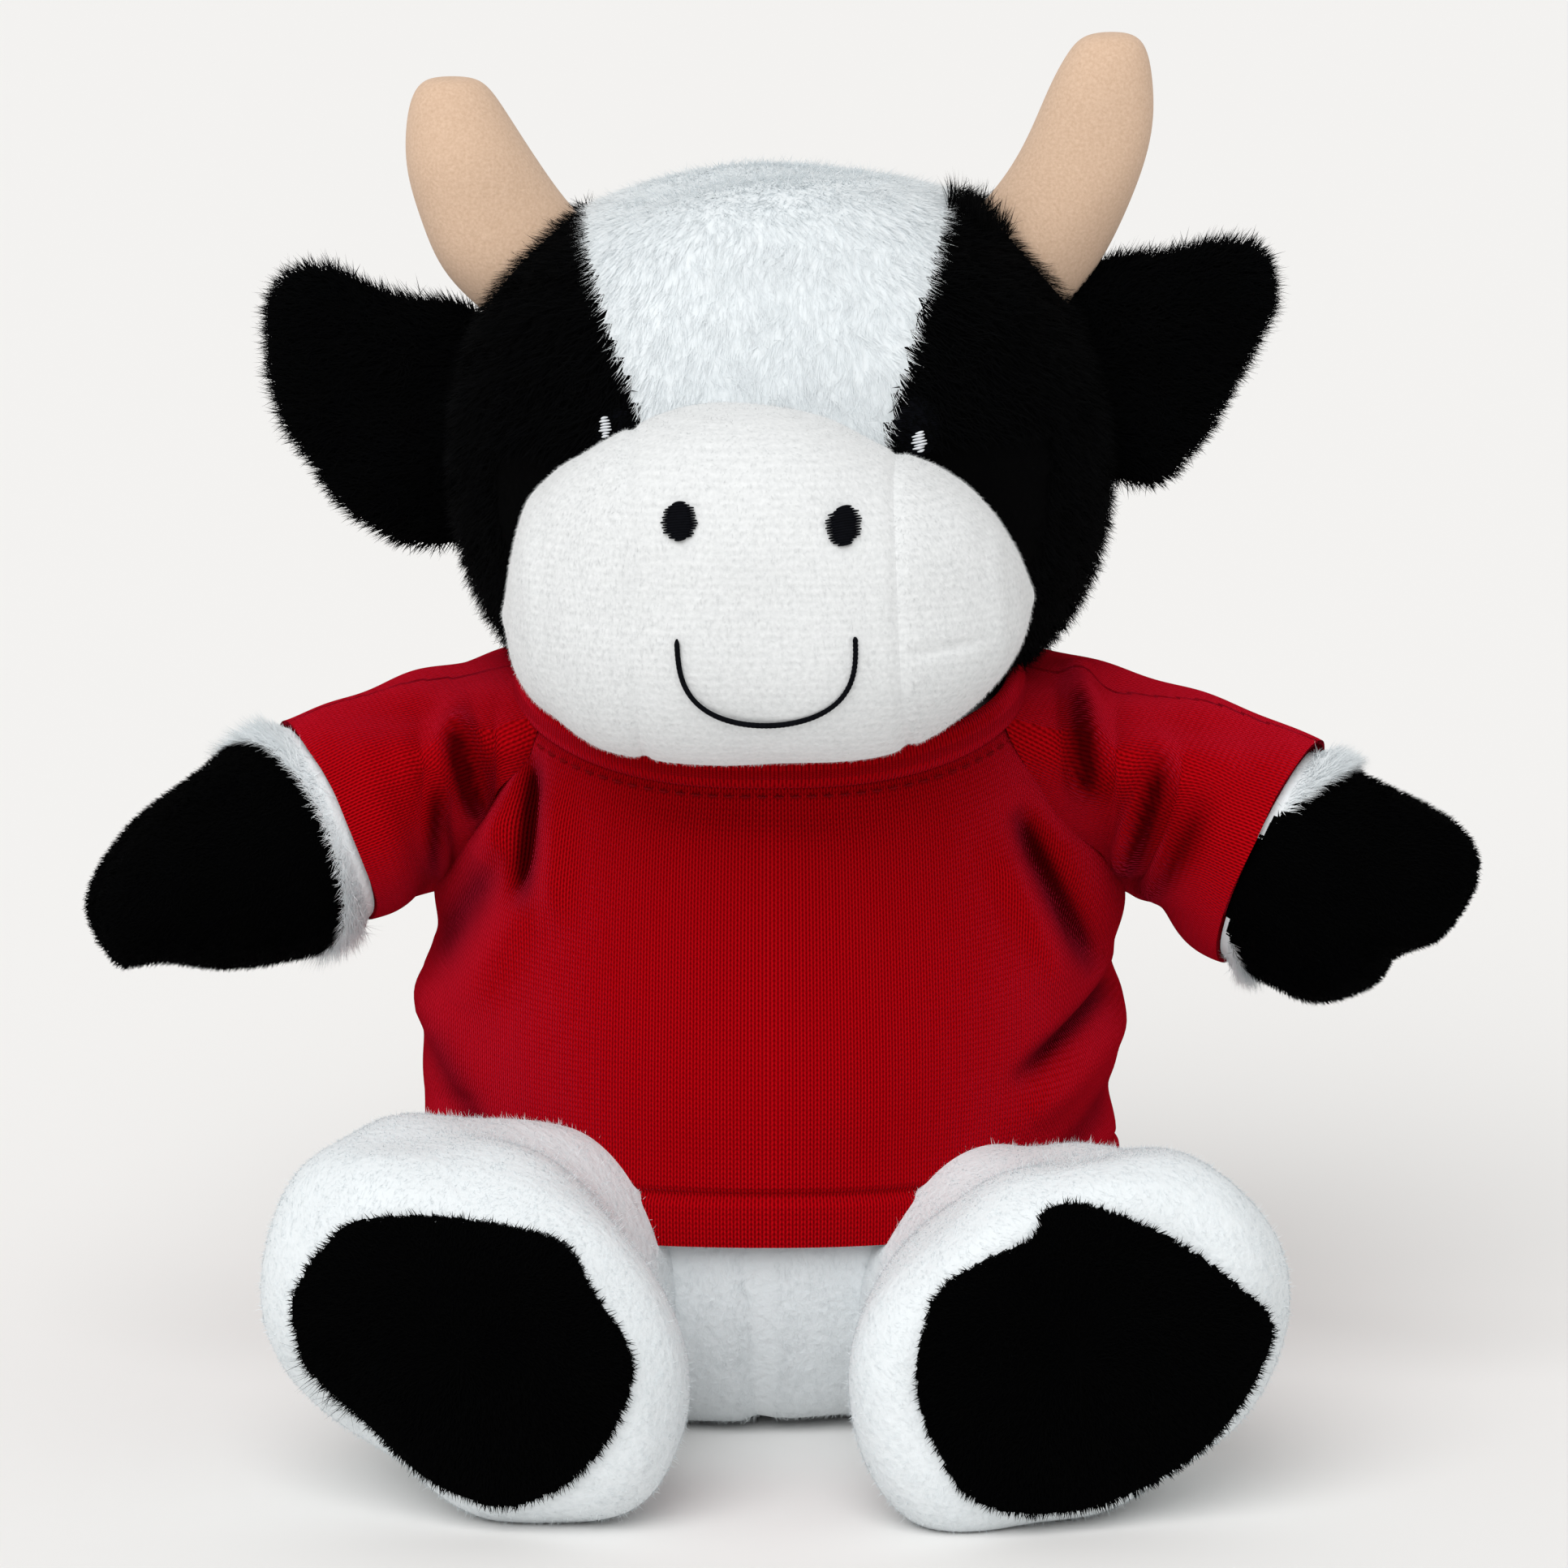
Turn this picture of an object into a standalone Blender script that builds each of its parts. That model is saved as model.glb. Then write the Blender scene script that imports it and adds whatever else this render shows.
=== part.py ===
"""Seated plush cow in a plain T-shirt, sewn from pile fabric over fibre stuffing.

Metres, +Z up, the face toward -Y. The origin is on the floor under the middle of the seat.
Left and right are the viewer's, seen from the front: left is -X.
"""

import math

import bmesh
import bpy
from mathutils import Matrix, Vector
from mathutils.bvhtree import BVHTree

# Fabrics, clearances and cuts
PILE_FABRIC = 0.0025
NAP_FABRIC = 0.0015
JERSEY = 0.0012
VELBOA = 0.001
THREAD = 0.0007
GAP = 0.0003
FLOOR_CUT = 0.0005
OVERRUN = 0.4

# Cage sides, and the sides of round cutters
BODY_SIDES = 10
LEG_SIDES = 8
LIMB_SIDES = 6
HORN_SIDES = 6
BALL_SIDES = 12
BALL_RINGS = 6
SIDES = ("left", "right")
OUTWARD = {"left": -1, "right": 1}

# Torso: height, width and depth, then rings from the floor up as (height, width, depth) shares
TORSO_HEIGHT = 0.113
TORSO_WIDTH = 0.101
TORSO_DEPTH = 0.083
TORSO_RING_SHARES = (
    (0.0, 0.66, 0.68),
    (0.035, 0.87, 0.87),
    (0.2, 0.98, 0.99),
    (0.5, 1.02, 1.0),
    (0.78, 0.97, 0.89),
    (0.93, 0.89, 0.76),
    (1.0, 0.60, 0.5),
)
SIDE_SEAM_SHARE = -0.12

# T-shirt: it hangs clear of the torso by its ease, with folds below the shoulders and a flared hem
SHIRT_EASE = 0.0006
SHIRT_FOLD = 0.0016
SHIRT_FLARE = 0.0012
SHIRT_FOLD_HEIGHT_SHARES = (0.6, 0.85)
SHIRT_FOLDS_AROUND = 6
HEM_HEIGHT = 0.031
COLLAR_DROP = 0.0165
COLLAR_FRONT_HEIGHT = TORSO_HEIGHT - COLLAR_DROP
COLLAR_SLOPE = math.radians(7.0)

# Neck and head: the head frame starts at the neck, tilted and turned as the toy holds it
NECK_X = 0.003
NECK_SINK = 0.0095
NECK_HEIGHT = TORSO_HEIGHT - NECK_SINK
HEAD_TILT = math.radians(-2.5)
HEAD_LOOK = math.radians(-2.0)
HEAD_TURN = math.radians(15.0)
HEAD_HEIGHT = 0.079
HEAD_WIDTH = 0.101
HEAD_DEPTH = 0.086
HEAD_RING_SHARES = (
    (0.0, 0.32, 0.37),
    (0.04, 0.62, 0.70),
    (0.14, 0.84, 0.89),
    (0.34, 0.98, 0.98),
    (0.6, 1.0, 1.0),
    (0.84, 0.84, 0.88),
    (0.965, 0.59, 0.64),
    (1.0, 0.32, 0.36),
)
BLAZE_TOP_HALF_WIDTH = 0.0285
BLAZE_LOW_HALF_WIDTH = 0.0172
BLAZE_LOW_HEIGHT = 0.047

# Muzzle: its outline as half the points (across, up), from top to bottom, and rings from the head forward
MUZZLE_WIDTH = 0.0745
MUZZLE_HEIGHT = 0.0505
MUZZLE_LIFT = 0.0272
MUZZLE_REACH = 0.0755
MUZZLE_OUTLINE_SHARES = (
    (0.0, 1.04),
    (0.38, 0.94),
    (0.72, 0.64),
    (0.97, 0.22),
    (1.05, -0.22),
    (0.98, -0.66),
    (0.66, -1.02),
    (0.0, -1.05),
)
MUZZLE_RING_SHARES = ((0.28, 0.80), (0.6, 0.97), (0.78, 1.0), (0.91, 0.92), (1.0, 0.66))
MUZZLE_SEAM_HALF_WIDTH = 0.0187

# Embroidery on the muzzle and beside the blaze
NOSTRIL_X = 0.0114
NOSTRIL_HEIGHT = 0.0378
NOSTRIL_HALF_WIDTH = 0.0024
NOSTRIL_HALF_HEIGHT = 0.003
SMILE_HALF_WIDTH = 0.0124
SMILE_TOP_HEIGHT = 0.0225
SMILE_LOW_HEIGHT = 0.0092
SMILE_POINTS = 17
SMILE_ROUND_SHARE = 0.62
EYE_X = 0.0218
EYE_HEIGHT = 0.0475
EYE_HALF_WIDTH = 0.0045
EYE_HALF_HEIGHT = 0.0052
GLINT_HEIGHT = 0.0492
GLINT_HALF_WIDTH = 0.0015
GLINT_HALF_HEIGHT = 0.0018
OVAL_SIDES = 16

# Horns: a tapering arc that leaves the head outward and turns upright
HORN_INSET = 0.0135
HORN_X = HEAD_WIDTH / 2 - HORN_INSET
HORN_Y = 0.004
HORN_DROP = 0.0107
HORN_BASE_HEIGHT = HEAD_HEIGHT - HORN_DROP
HORN_LENGTH = 0.034
HORN_RADIUS = 0.0093
HORN_ROOT = 0.008
HORN_RING_SHARES = ((0.0, 1.0), (0.3, 1.0), (0.58, 0.95), (0.84, 0.78), (1.0, 0.42))
HORN_BASE_HEADING = math.radians(45.0)
HORN_TIP_HEADING = math.radians(94.0)
HORN_LEAN = {"left": math.radians(5.0), "right": math.radians(-4.0)}

# Ears: flat leaves that flop about the line where they are sewn on
EAR_SINK = 0.005
EAR_X = HEAD_WIDTH / 2 - EAR_SINK
EAR_Y = 0.005
EAR_HEIGHT = 0.0455
EAR_LENGTH = 0.032
EAR_HALF_HEIGHT = 0.0195
EAR_HALF_THICKNESS = 0.0031
EAR_ROOT = 0.006
EAR_RISE = math.radians(22.0)
EAR_FLOP = math.radians(12.0)
EAR_RING_SHARES = (
    (0.0, 0.76, 0.9),
    (0.3, 1.0, 1.0),
    (0.62, 1.02, 1.0),
    (0.88, 0.68, 0.8),
    (1.0, 0.26, 0.4),
)

# Arms: a tube from the shoulder to the hoof, in rings of (length, wide, thin) shares
ARM_LENGTH = 0.0605
ARM_RADIUS = 0.0168
ARM_SINK = 0.004
ARM_X = TORSO_WIDTH / 2 - ARM_SINK
ARM_Y = -0.008
SHOULDER_DROP = 0.019
ARM_HEIGHT = TORSO_HEIGHT - SHOULDER_DROP
ARM_ROOT = 0.006
ARM_BALL = 0.009
ARM_RING_SHARES = (
    (0.0, 0.86, 0.86),
    (0.22, 0.93, 0.93),
    (0.48, 0.96, 0.96),
    (0.64, 1.04, 0.94),
    (0.82, 1.03, 0.72),
    (0.95, 0.88, 0.48),
    (1.0, 0.6, 0.32),
)
ARM_LEAN = math.radians(14.0)
ARM_DROOP = math.radians(21.5)
HOOF_DROOP = {"left": math.radians(0.0), "right": math.radians(12.0)}
HOOF_SEEN_WIDE = {"left": False, "right": True}
SLEEVE_REACH = {"left": 0.0225, "right": 0.0295}
CUFF_REACH = {"left": 0.0295, "right": 0.0335}
ARM_RAISE = math.radians(25.0)
ARM_LOWER = math.radians(8.0)
CLEFT_RADIUS = 0.0028
CLEFT_DEPTH = 0.0036

# Legs: a tube from the hip to the foot, with a sole pad let into its front
LEG_LENGTH = 0.069
LEG_HALF_WIDTH = 0.0302
LEG_HALF_HEIGHT = 0.0256
LEG_X = 0.029
LEG_Y = -0.020
LEG_ROOT = 0.004
LEG_BALL = 0.0155
LEG_SPLAY = math.radians(12.1)
LEG_OPEN = math.radians(14.0)
LEG_CLOSE = math.radians(5.0)
LEG_RING_SHARES = (
    (0.0, 0.55, 0.62),
    (0.2, 0.69, 0.80),
    (0.42, 0.81, 0.92),
    (0.68, 0.94, 1.0),
    (0.88, 1.01, 0.98),
    (1.0, 0.72, 0.70),
)
SOLE_HALF_WIDTH = 0.0232
SOLE_HALF_HEIGHT = 0.0198
SOLE_POINT_SHARE = 0.06
SOLE_SIDES = 20
SOLE_REACH_SHARE = 0.9

# Tail: a thin cord from the seam of the seat, with a tuft
TAIL_LENGTH = 0.046
TAIL_RADIUS = 0.0040
TAIL_SINK = 0.001
TAIL_Y = TORSO_DEPTH / 2 - TAIL_SINK
TAIL_HEIGHT = 0.0235
TAIL_BALL = 0.0052
TAIL_ROOT = 0.004
TAIL_SWING = math.radians(20.0)
TAIL_TUFT_SHARE = 0.56
TAIL_BASE_HEADING = math.radians(-52.0)
TAIL_TIP_HEADING = math.radians(0.0)
TAIL_RING_SHARES = (
    (0.0, 1.0),
    (0.2, 1.0),
    (0.42, 0.95),
    (0.58, 1.2),
    (0.8, 1.65),
    (1.0, 0.7),
)

# Colour, then roughness, of each fabric
LOOKS = {
    "white_pile": ((0.80, 0.83, 0.84), 0.95),
    "black_pile": ((0.004, 0.004, 0.005), 0.95),
    "white_nap": ((0.86, 0.87, 0.86), 0.9),
    "red_jersey": ((0.36, 0.002, 0.006), 0.85),
    "tan_velboa": ((0.75, 0.51, 0.36), 0.9),
    "dark_thread": ((0.006, 0.006, 0.012), 0.5),
    "pale_thread": ((0.78, 0.80, 0.82), 0.4),
    "fibre_fill": ((0.88, 0.88, 0.86), 1.0),
}


# Scene, frames and materials


def clear_scene():
    for obj in list(bpy.data.objects):
        bpy.data.objects.remove(obj, do_unlink=True)


def new_collection(name):
    collection = bpy.data.collections.new(name)
    bpy.context.scene.collection.children.link(collection)
    return collection


def frame_at(place, x_axis=(1, 0, 0), z_axis=(0, 0, 1)):
    """A right-handed frame at a place, its X along x_axis and its Z as near z_axis as it can be."""
    x = Vector(x_axis).normalized()
    y = Vector(z_axis).cross(x).normalized()
    turn = Matrix((x, y, x.cross(y))).transposed().to_4x4()
    return Matrix.Translation(place) @ turn


def joint_frame(name, matrix, parent=None):
    empty = bpy.data.objects.new(name, None)
    empty.empty_display_size = ARM_BALL
    PARTS.objects.link(empty)
    empty.parent = parent
    empty.matrix_basis = matrix
    bpy.context.view_layer.update()
    return empty


def fabric(name, kind):
    colour, roughness = LOOKS[kind]
    material = bpy.data.materials.new(f"{name}_{kind}")
    material.use_nodes = True
    shader = material.node_tree.nodes["Principled BSDF"]
    shader.inputs["Base Color"].default_value = (*colour, 1.0)
    shader.inputs["Roughness"].default_value = roughness
    shader.inputs["Metallic"].default_value = 0.0
    material.diffuse_color = (*colour, 1.0)
    return material


# Cages: closed rings of points along a spine


def ring(centre, heading, half_across, half_up, sides):
    """One ring square to a heading in the XZ plane, widened by what subdivision will draw in."""
    up = Vector((-math.sin(heading), 0, math.cos(heading)))
    across = Vector((0, 1, 0))
    step = math.tau / sides
    reach = 3 / (2 + math.cos(step))
    return [
        centre + reach * (half_across * math.cos(i * step) * across + half_up * math.sin(i * step) * up)
        for i in range(sides)
    ]


def spine_rings(stations, sides):
    """Rings for stations of (step, heading, half across, half up), each step taken along its heading."""
    rings = []
    centre = Vector((0, 0, 0))
    for step, heading, half_across, half_up in stations:
        centre = centre + step * Vector((math.cos(heading), 0, math.sin(heading)))
        rings.append(ring(centre, heading, half_across, half_up, sides))
    return rings


def cage_mesh(name, rings):
    shape = bmesh.new()
    loops = [[shape.verts.new(point) for point in points] for points in rings]
    for near, far in zip(loops, loops[1:]):
        for i, vertex in enumerate(near):
            j = (i + 1) % len(near)
            shape.faces.new((vertex, near[j], far[j], far[i]))
    shape.faces.new(loops[0])
    shape.faces.new(loops[-1])
    bmesh.ops.recalc_face_normals(shape, faces=shape.faces)
    return finish_mesh(name, shape)


def finish_mesh(name, shape):
    mesh = bpy.data.meshes.new(name)
    shape.to_mesh(mesh)
    shape.free()
    mesh.shade_smooth()
    return mesh


def form(name, rings, offset=0.0, parent=None, frame=None):
    """A soft form: a coarse cage, subdivided once, then swollen or shrunk along its normals."""
    obj = bpy.data.objects.new(name, cage_mesh(name, rings))
    smooth = obj.modifiers.new("smooth", "SUBSURF")
    smooth.levels = 1
    smooth.render_levels = 1
    return placed_form(obj, offset, parent, frame)


def core_form(name, rings, offset=0.0, parent=None, frame=None):
    """The plainer form that fills a soft form: its corners lie on the subdivided surface."""
    obj = bpy.data.objects.new(name, cage_mesh(name, settled(rings)))
    return placed_form(obj, offset, parent, frame)


def settled(rings):
    """Where subdivision draws a cage's points to, first round each ring and then along the spine."""
    around = []
    for points in rings:
        before, after = points[-1:] + points[:-1], points[1:] + points[:1]
        around.append([(a + 4 * b + c) / 6 for a, b, c in zip(before, points, after)])
    drawn = []
    for k, points in enumerate(around):
        if 0 < k < len(around) - 1:
            trio = zip(around[k - 1], points, around[k + 1])
            drawn.append([(a + 4 * b + c) / 6 for a, b, c in trio])
        else:
            drawn.append(settled_end(rings[k], rings[1] if k == 0 else rings[-2]))
    return drawn


def settled_end(points, inner):
    """The same for an end ring, where each point is a corner of the cap and of two side faces."""
    cap = sum(points, Vector()) / len(points)
    drawn = []
    for i, point in enumerate(points):
        beside = [(points[j], inner[j]) for j in (i - 1, (i + 1) % len(points))]
        faces = [(point + inner[i] + near + far) / 4 for near, far in beside]
        corners = cap + faces[0] + faces[1]
        middles = (3 * point + beside[0][0] + beside[1][0] + inner[i]) / 2
        edges = (point + inner[i] + faces[0] + faces[1]) / 4
        for (near, _), face in zip(beside, faces):
            edges = edges + (point + near + cap + face) / 4
        moved = (corners + 2 * middles) / 9
        drawn.append((9 * moved + 4 * edges + corners) / 24)
    return drawn


def placed_form(obj, offset, parent, frame):
    if offset:
        swell = obj.modifiers.new("offset", "DISPLACE")
        swell.mid_level = 0.0
        swell.strength = offset
    flat = obj.modifiers.new("flat faces", "TRIANGULATE")
    flat.quad_method = "FIXED"
    obj.parent = parent
    if frame is not None:
        obj.matrix_basis = frame
    return obj


def as_piece(obj, kind):
    PARTS.objects.link(obj)
    obj.data.materials.append(fabric(obj.name, kind))
    return obj


def as_cutter(obj):
    CUTTERS.objects.link(obj)
    obj.name = f"cut_{obj.name}"
    obj.hide_render = True
    obj.display_type = "WIRE"
    return obj


# Booleans and their cutters


def combine(obj, other, operation):
    modifier = obj.modifiers.new(f"{operation.lower()} {other.name}", "BOOLEAN")
    modifier.operation = operation
    modifier.object = other
    modifier.solver = "EXACT"


def cut(obj, *others):
    for other in others:
        combine(obj, other, "DIFFERENCE")


def keep(obj, *others):
    for other in others:
        combine(obj, other, "INTERSECT")


def half_space(name, point, normal, parent=None):
    """A large block whose face passes through a point, on the side that the normal points to."""
    shape = bmesh.new()
    bmesh.ops.create_cube(shape, size=OVERRUN)
    bmesh.ops.translate(shape, verts=shape.verts, vec=(0, 0, OVERRUN / 2))
    obj = bpy.data.objects.new(name, finish_mesh(name, shape))
    obj.data.shade_flat()
    obj.parent = parent
    turn = Vector((0, 0, 1)).rotation_difference(Vector(normal)).to_matrix().to_4x4()
    obj.matrix_basis = Matrix.Translation(point) @ turn
    return as_cutter(obj)


def ball(name, radius, parent=None, place=(0, 0, 0)):
    shape = bmesh.new()
    bmesh.ops.create_uvsphere(shape, u_segments=BALL_SIDES, v_segments=BALL_RINGS, radius=radius)
    obj = bpy.data.objects.new(name, finish_mesh(name, shape))
    obj.parent = parent
    obj.location = place
    return as_cutter(obj)


def socket(name, radius, parent):
    """A ball that clears the ball of this radius at any turn: its flat facets lie outside it."""
    flatness = math.cos(math.pi / BALL_SIDES) * math.cos(math.pi / (2 * BALL_RINGS))
    return ball(name, (radius + GAP) / flatness, parent)


def prism(name, outline, near, far, parent=None, frame=None):
    """A closed outline of (x, z) points, extruded from y = near to y = far."""
    shape = bmesh.new()
    front = [shape.verts.new((x, near, z)) for x, z in outline]
    back = [shape.verts.new((x, far, z)) for x, z in outline]
    shape.faces.new(front)
    shape.faces.new(back)
    for i in range(len(outline)):
        j = (i + 1) % len(outline)
        shape.faces.new((front[i], front[j], back[j], back[i]))
    bmesh.ops.recalc_face_normals(shape, faces=shape.faces)
    obj = bpy.data.objects.new(name, finish_mesh(name, shape))
    obj.data.shade_flat()
    obj.parent = parent
    if frame is not None:
        obj.matrix_basis = frame
    return as_cutter(obj)


def oval(centre_x, centre_z, half_width, half_height, sides=OVAL_SIDES):
    step = math.tau / sides
    return [
        (centre_x + half_width * math.cos(i * step), centre_z + half_height * math.sin(i * step))
        for i in range(sides)
    ]


def turned_about(pivot, axis, angle):
    """The world turn by an angle about an axis through a joint's pivot."""
    place = pivot.matrix_world.translation
    direction = pivot.matrix_world.to_3x3() @ Vector(axis)
    turn = Matrix.Rotation(angle, 4, direction)
    return Matrix.Translation(place) @ turn @ Matrix.Translation(-place)


def swing_cutters(make, pivot, axis, angles):
    """Copies of a still form, as a piece that swings to each of the angles would meet it."""
    copies = []
    for i, angle in enumerate(angles):
        copy = make(f"{pivot.name}_{i}")
        copy.matrix_basis = turned_about(pivot, axis, -angle)
        copies.append(as_cutter(copy))
    return copies


# Torso and T-shirt


def torso_rings(sides, fold=0.0, flare=0.0):
    low, high = SHIRT_FOLD_HEIGHT_SHARES
    rings = []
    for height, width, depth in TORSO_RING_SHARES:
        centre = Vector((0, 0, height * (TORSO_HEIGHT + FLOOR_CUT) - FLOOR_CUT))
        points = ring(centre, math.pi / 2, depth * TORSO_DEPTH / 2, width * TORSO_WIDTH / 2, sides)
        rise = fold if low < height < high else 0.0
        loose = flare if height * TORSO_HEIGHT < 2 * HEM_HEIGHT else 0.0
        for i, point in enumerate(points):
            out = (point - centre).normalized()
            wave = max(0.0, math.cos(SHIRT_FOLDS_AROUND * math.tau * i / sides))
            points[i] = point + (rise * wave + loose) * out
        rings.append(points)
    return rings


def torso_form(name, offset=0.0):
    return form(name, torso_rings(BODY_SIDES), offset)


def torso_core(name, offset):
    return core_form(name, torso_rings(BODY_SIDES), offset)


def shirt_form(name, offset=0.0):
    rings = torso_rings(BODY_SIDES, SHIRT_FOLD, SHIRT_FLARE)
    return form(name, rings, GAP + SHIRT_EASE + JERSEY + offset)


def shirt_clearance(name):
    return shirt_form(f"shirt_{name}", GAP)


def side_seam_y():
    return SIDE_SEAM_SHARE * TORSO_DEPTH


def torso_split(name):
    """What is taken from a torso shell to leave the named panel."""
    seam = side_seam_y()
    if name == "torso_back":
        return [half_space(f"{name}_front", (0, seam + GAP / 2, 0), (0, -1, 0))]
    away = -OUTWARD[name.split("_")[-1]]
    return [
        half_space(f"{name}_back", (0, seam - GAP / 2, 0), (0, 1, 0)),
        half_space(f"{name}_side", (-away * GAP / 2, 0, 0), (away, 0, 0)),
    ]


def make_torso(sockets):
    hollow = as_cutter(torso_core("torso_hollow", -PILE_FABRIC))
    for name in ("torso_front_left", "torso_front_right", "torso_back"):
        panel = as_piece(torso_form(name), "white_pile")
        cut(panel, hollow, *sockets, FLOOR, *torso_split(name))
    core = as_piece(torso_core("torso_stuffing", -PILE_FABRIC - GAP), "fibre_fill")
    cut(core, *sockets)


def make_shirt(sockets, muzzle_sweep):
    inside = as_cutter(torso_form("shirt_inside", GAP))
    below_hem = half_space("below_hem", (0, 0, HEM_HEIGHT), (0, 0, -1))
    neckline = Vector((0, -TORSO_DEPTH / 2, COLLAR_FRONT_HEIGHT))
    up = Vector((0, -math.sin(COLLAR_SLOPE), math.cos(COLLAR_SLOPE)))
    above = half_space("above_neckline", neckline, up)
    below = half_space("below_neckline", neckline + GAP * up, -up)
    seam = side_seam_y()
    splits = {
        "shirt_front": half_space("behind_seam", (0, seam - GAP / 2, 0), (0, 1, 0)),
        "shirt_back": half_space("before_seam", (0, seam + GAP / 2, 0), (0, -1, 0)),
    }
    for name, split in splits.items():
        panel = as_piece(shirt_form(name), "red_jersey")
        cut(panel, inside, *sockets, below_hem, above, split, *muzzle_sweep)
    collar = as_piece(shirt_form("collar"), "red_jersey")
    cut(collar, inside, *sockets, below, *muzzle_sweep)


# Limbs: tubes that the torso and shirt cut, round a core with a ball at its root


def arm_rings(side):
    """The hoof's wide direction lies in the picture on one side and across it on the other."""
    stations = []
    reached = -ARM_ROOT
    for length, wide, thin in ARM_RING_SHARES:
        place = length * (ARM_LENGTH + ARM_ROOT) - ARM_ROOT
        heading = -HOOF_DROOP[side] if place > CUFF_REACH[side] else 0.0
        across, up = (thin, wide) if HOOF_SEEN_WIDE[side] else (wide, thin)
        step = place - reached if stations else place
        stations.append((step, heading, across * ARM_RADIUS, up * ARM_RADIUS))
        reached = place
    return spine_rings(stations, LIMB_SIDES)


def hoof_tip(side):
    straight = CUFF_REACH[side]
    bent = ARM_LENGTH - straight
    droop = HOOF_DROOP[side]
    return Vector((straight + bent * math.cos(droop), 0, -bent * math.sin(droop)))


def cleft(name, side, radius, pivot):
    """A round notch across the thin way of a hoof's tip, which parts its two toes."""
    droop = HOOF_DROOP[side]
    tip = hoof_tip(side) + (CLEFT_RADIUS - CLEFT_DEPTH) * Vector((math.cos(droop), 0, -math.sin(droop)))
    outline = oval(0, 0, radius, radius)
    turn = Matrix() if HOOF_SEEN_WIDE[side] else Matrix.Rotation(math.pi / 2, 4, "X")
    reach = 2 * ARM_RADIUS
    return prism(name, outline, -reach, reach, pivot, Matrix.Translation(tip) @ turn)


def make_arm(side, pivot, shoulder):
    angles = (-ARM_LOWER, 0, ARM_RAISE / 2, ARM_RAISE)
    still = swing_cutters(shirt_clearance, pivot, (0, -1, 0), angles)
    rings = arm_rings(side)

    def layer(name, depth, make=form):
        return make(f"{name}_{side}", rings, -depth, pivot)

    skin = JERSEY + GAP
    fill = skin + PILE_FABRIC
    cloth_inside = as_cutter(layer("sleeve_inside", JERSEY))
    skin_inside = as_cutter(layer("arm_inside", fill, core_form))
    hem, cuff = SLEEVE_REACH[side], CUFF_REACH[side]

    sleeve = as_piece(layer("sleeve", 0.0), "red_jersey")
    past_hem = half_space(f"past_hem_{side}", (hem, 0, 0), (1, 0, 0), pivot)
    cut(sleeve, *still, cloth_inside, past_hem, shoulder)

    arm = as_piece(layer("arm_skin", skin), "white_pile")
    past_cuff = half_space(f"past_cuff_{side}", (cuff, 0, 0), (1, 0, 0), pivot)
    cut(arm, *still, skin_inside, past_cuff, shoulder)

    hoof = as_piece(layer("hoof_mitt", skin), "black_pile")
    before_cuff = half_space(f"before_cuff_{side}", (cuff + GAP, 0, 0), (-1, 0, 0), pivot)
    notch = cleft(f"cleft_{side}", side, CLEFT_RADIUS, pivot)
    inner_notch = cleft(f"inner_cleft_{side}", side, CLEFT_RADIUS + PILE_FABRIC, pivot)
    fill_notch = cleft(f"fill_cleft_{side}", side, CLEFT_RADIUS + PILE_FABRIC + GAP, pivot)
    cut(skin_inside, inner_notch)
    cut(hoof, notch, skin_inside, before_cuff)

    core = as_piece(layer("arm_stuffing", fill + GAP, core_form), "fibre_fill")
    cut(core, *still, fill_notch)
    combine(core, ball(f"arm_ball_{side}", ARM_BALL, pivot), "UNION")


def leg_rings():
    stations = []
    for length, width, height in LEG_RING_SHARES:
        place = length * (LEG_LENGTH + LEG_ROOT) - LEG_ROOT
        step = place - sum(station[0] for station in stations)
        stations.append((step, 0.0, width * LEG_HALF_WIDTH, height * LEG_HALF_HEIGHT))
    return spine_rings(stations, LEG_SIDES)


def sole_outline(spare):
    """An oval, drawn out to a blunt point on its outer side."""
    step = math.tau / SOLE_SIDES
    outline = []
    for i in range(SOLE_SIDES):
        angle = i * step
        out = max(0.0, math.cos(angle)) ** 6
        reach = 1 + SOLE_POINT_SHARE * out
        across = reach * (SOLE_HALF_WIDTH + spare) * math.cos(angle)
        outline.append((across, (SOLE_HALF_HEIGHT + spare) * math.sin(angle)))
    return outline


def make_leg(side, pivot, hip):
    out = OUTWARD[side]
    angles = (-LEG_CLOSE * out, 0, LEG_OPEN * out)
    still = swing_cutters(shirt_clearance, pivot, (0, 0, 1), angles)

    def layer(name, depth, make=form):
        return make(f"{name}_{side}", leg_rings(), -depth, pivot)

    quarter = Matrix.Rotation(math.pi / 2 * out, 4, "Z")
    front = LEG_LENGTH * SOLE_REACH_SHARE
    far = LEG_LENGTH + LEG_HALF_WIDTH

    def sole_prism(name, spare):
        outline = sole_outline(spare)
        near, past = (-front, -far) if out > 0 else (front, far)
        return prism(f"{name}_{side}", outline, near, past, pivot, quarter)

    inside = as_cutter(layer("leg_inside", PILE_FABRIC, core_form))
    leg = as_piece(layer("leg_skin", 0.0), "white_pile")
    cut(leg, *still, inside, sole_prism("sole_hole", GAP), hip, FLOOR)

    sole = as_piece(layer("sole_pad", 0.0), "black_pile")
    cut(sole, inside)
    keep(sole, sole_prism("sole_shape", 0.0))

    core = as_piece(layer("leg_stuffing", PILE_FABRIC + GAP, core_form), "fibre_fill")
    cut(core, *still)
    combine(core, ball(f"leg_ball_{side}", LEG_BALL, pivot), "UNION")


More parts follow.
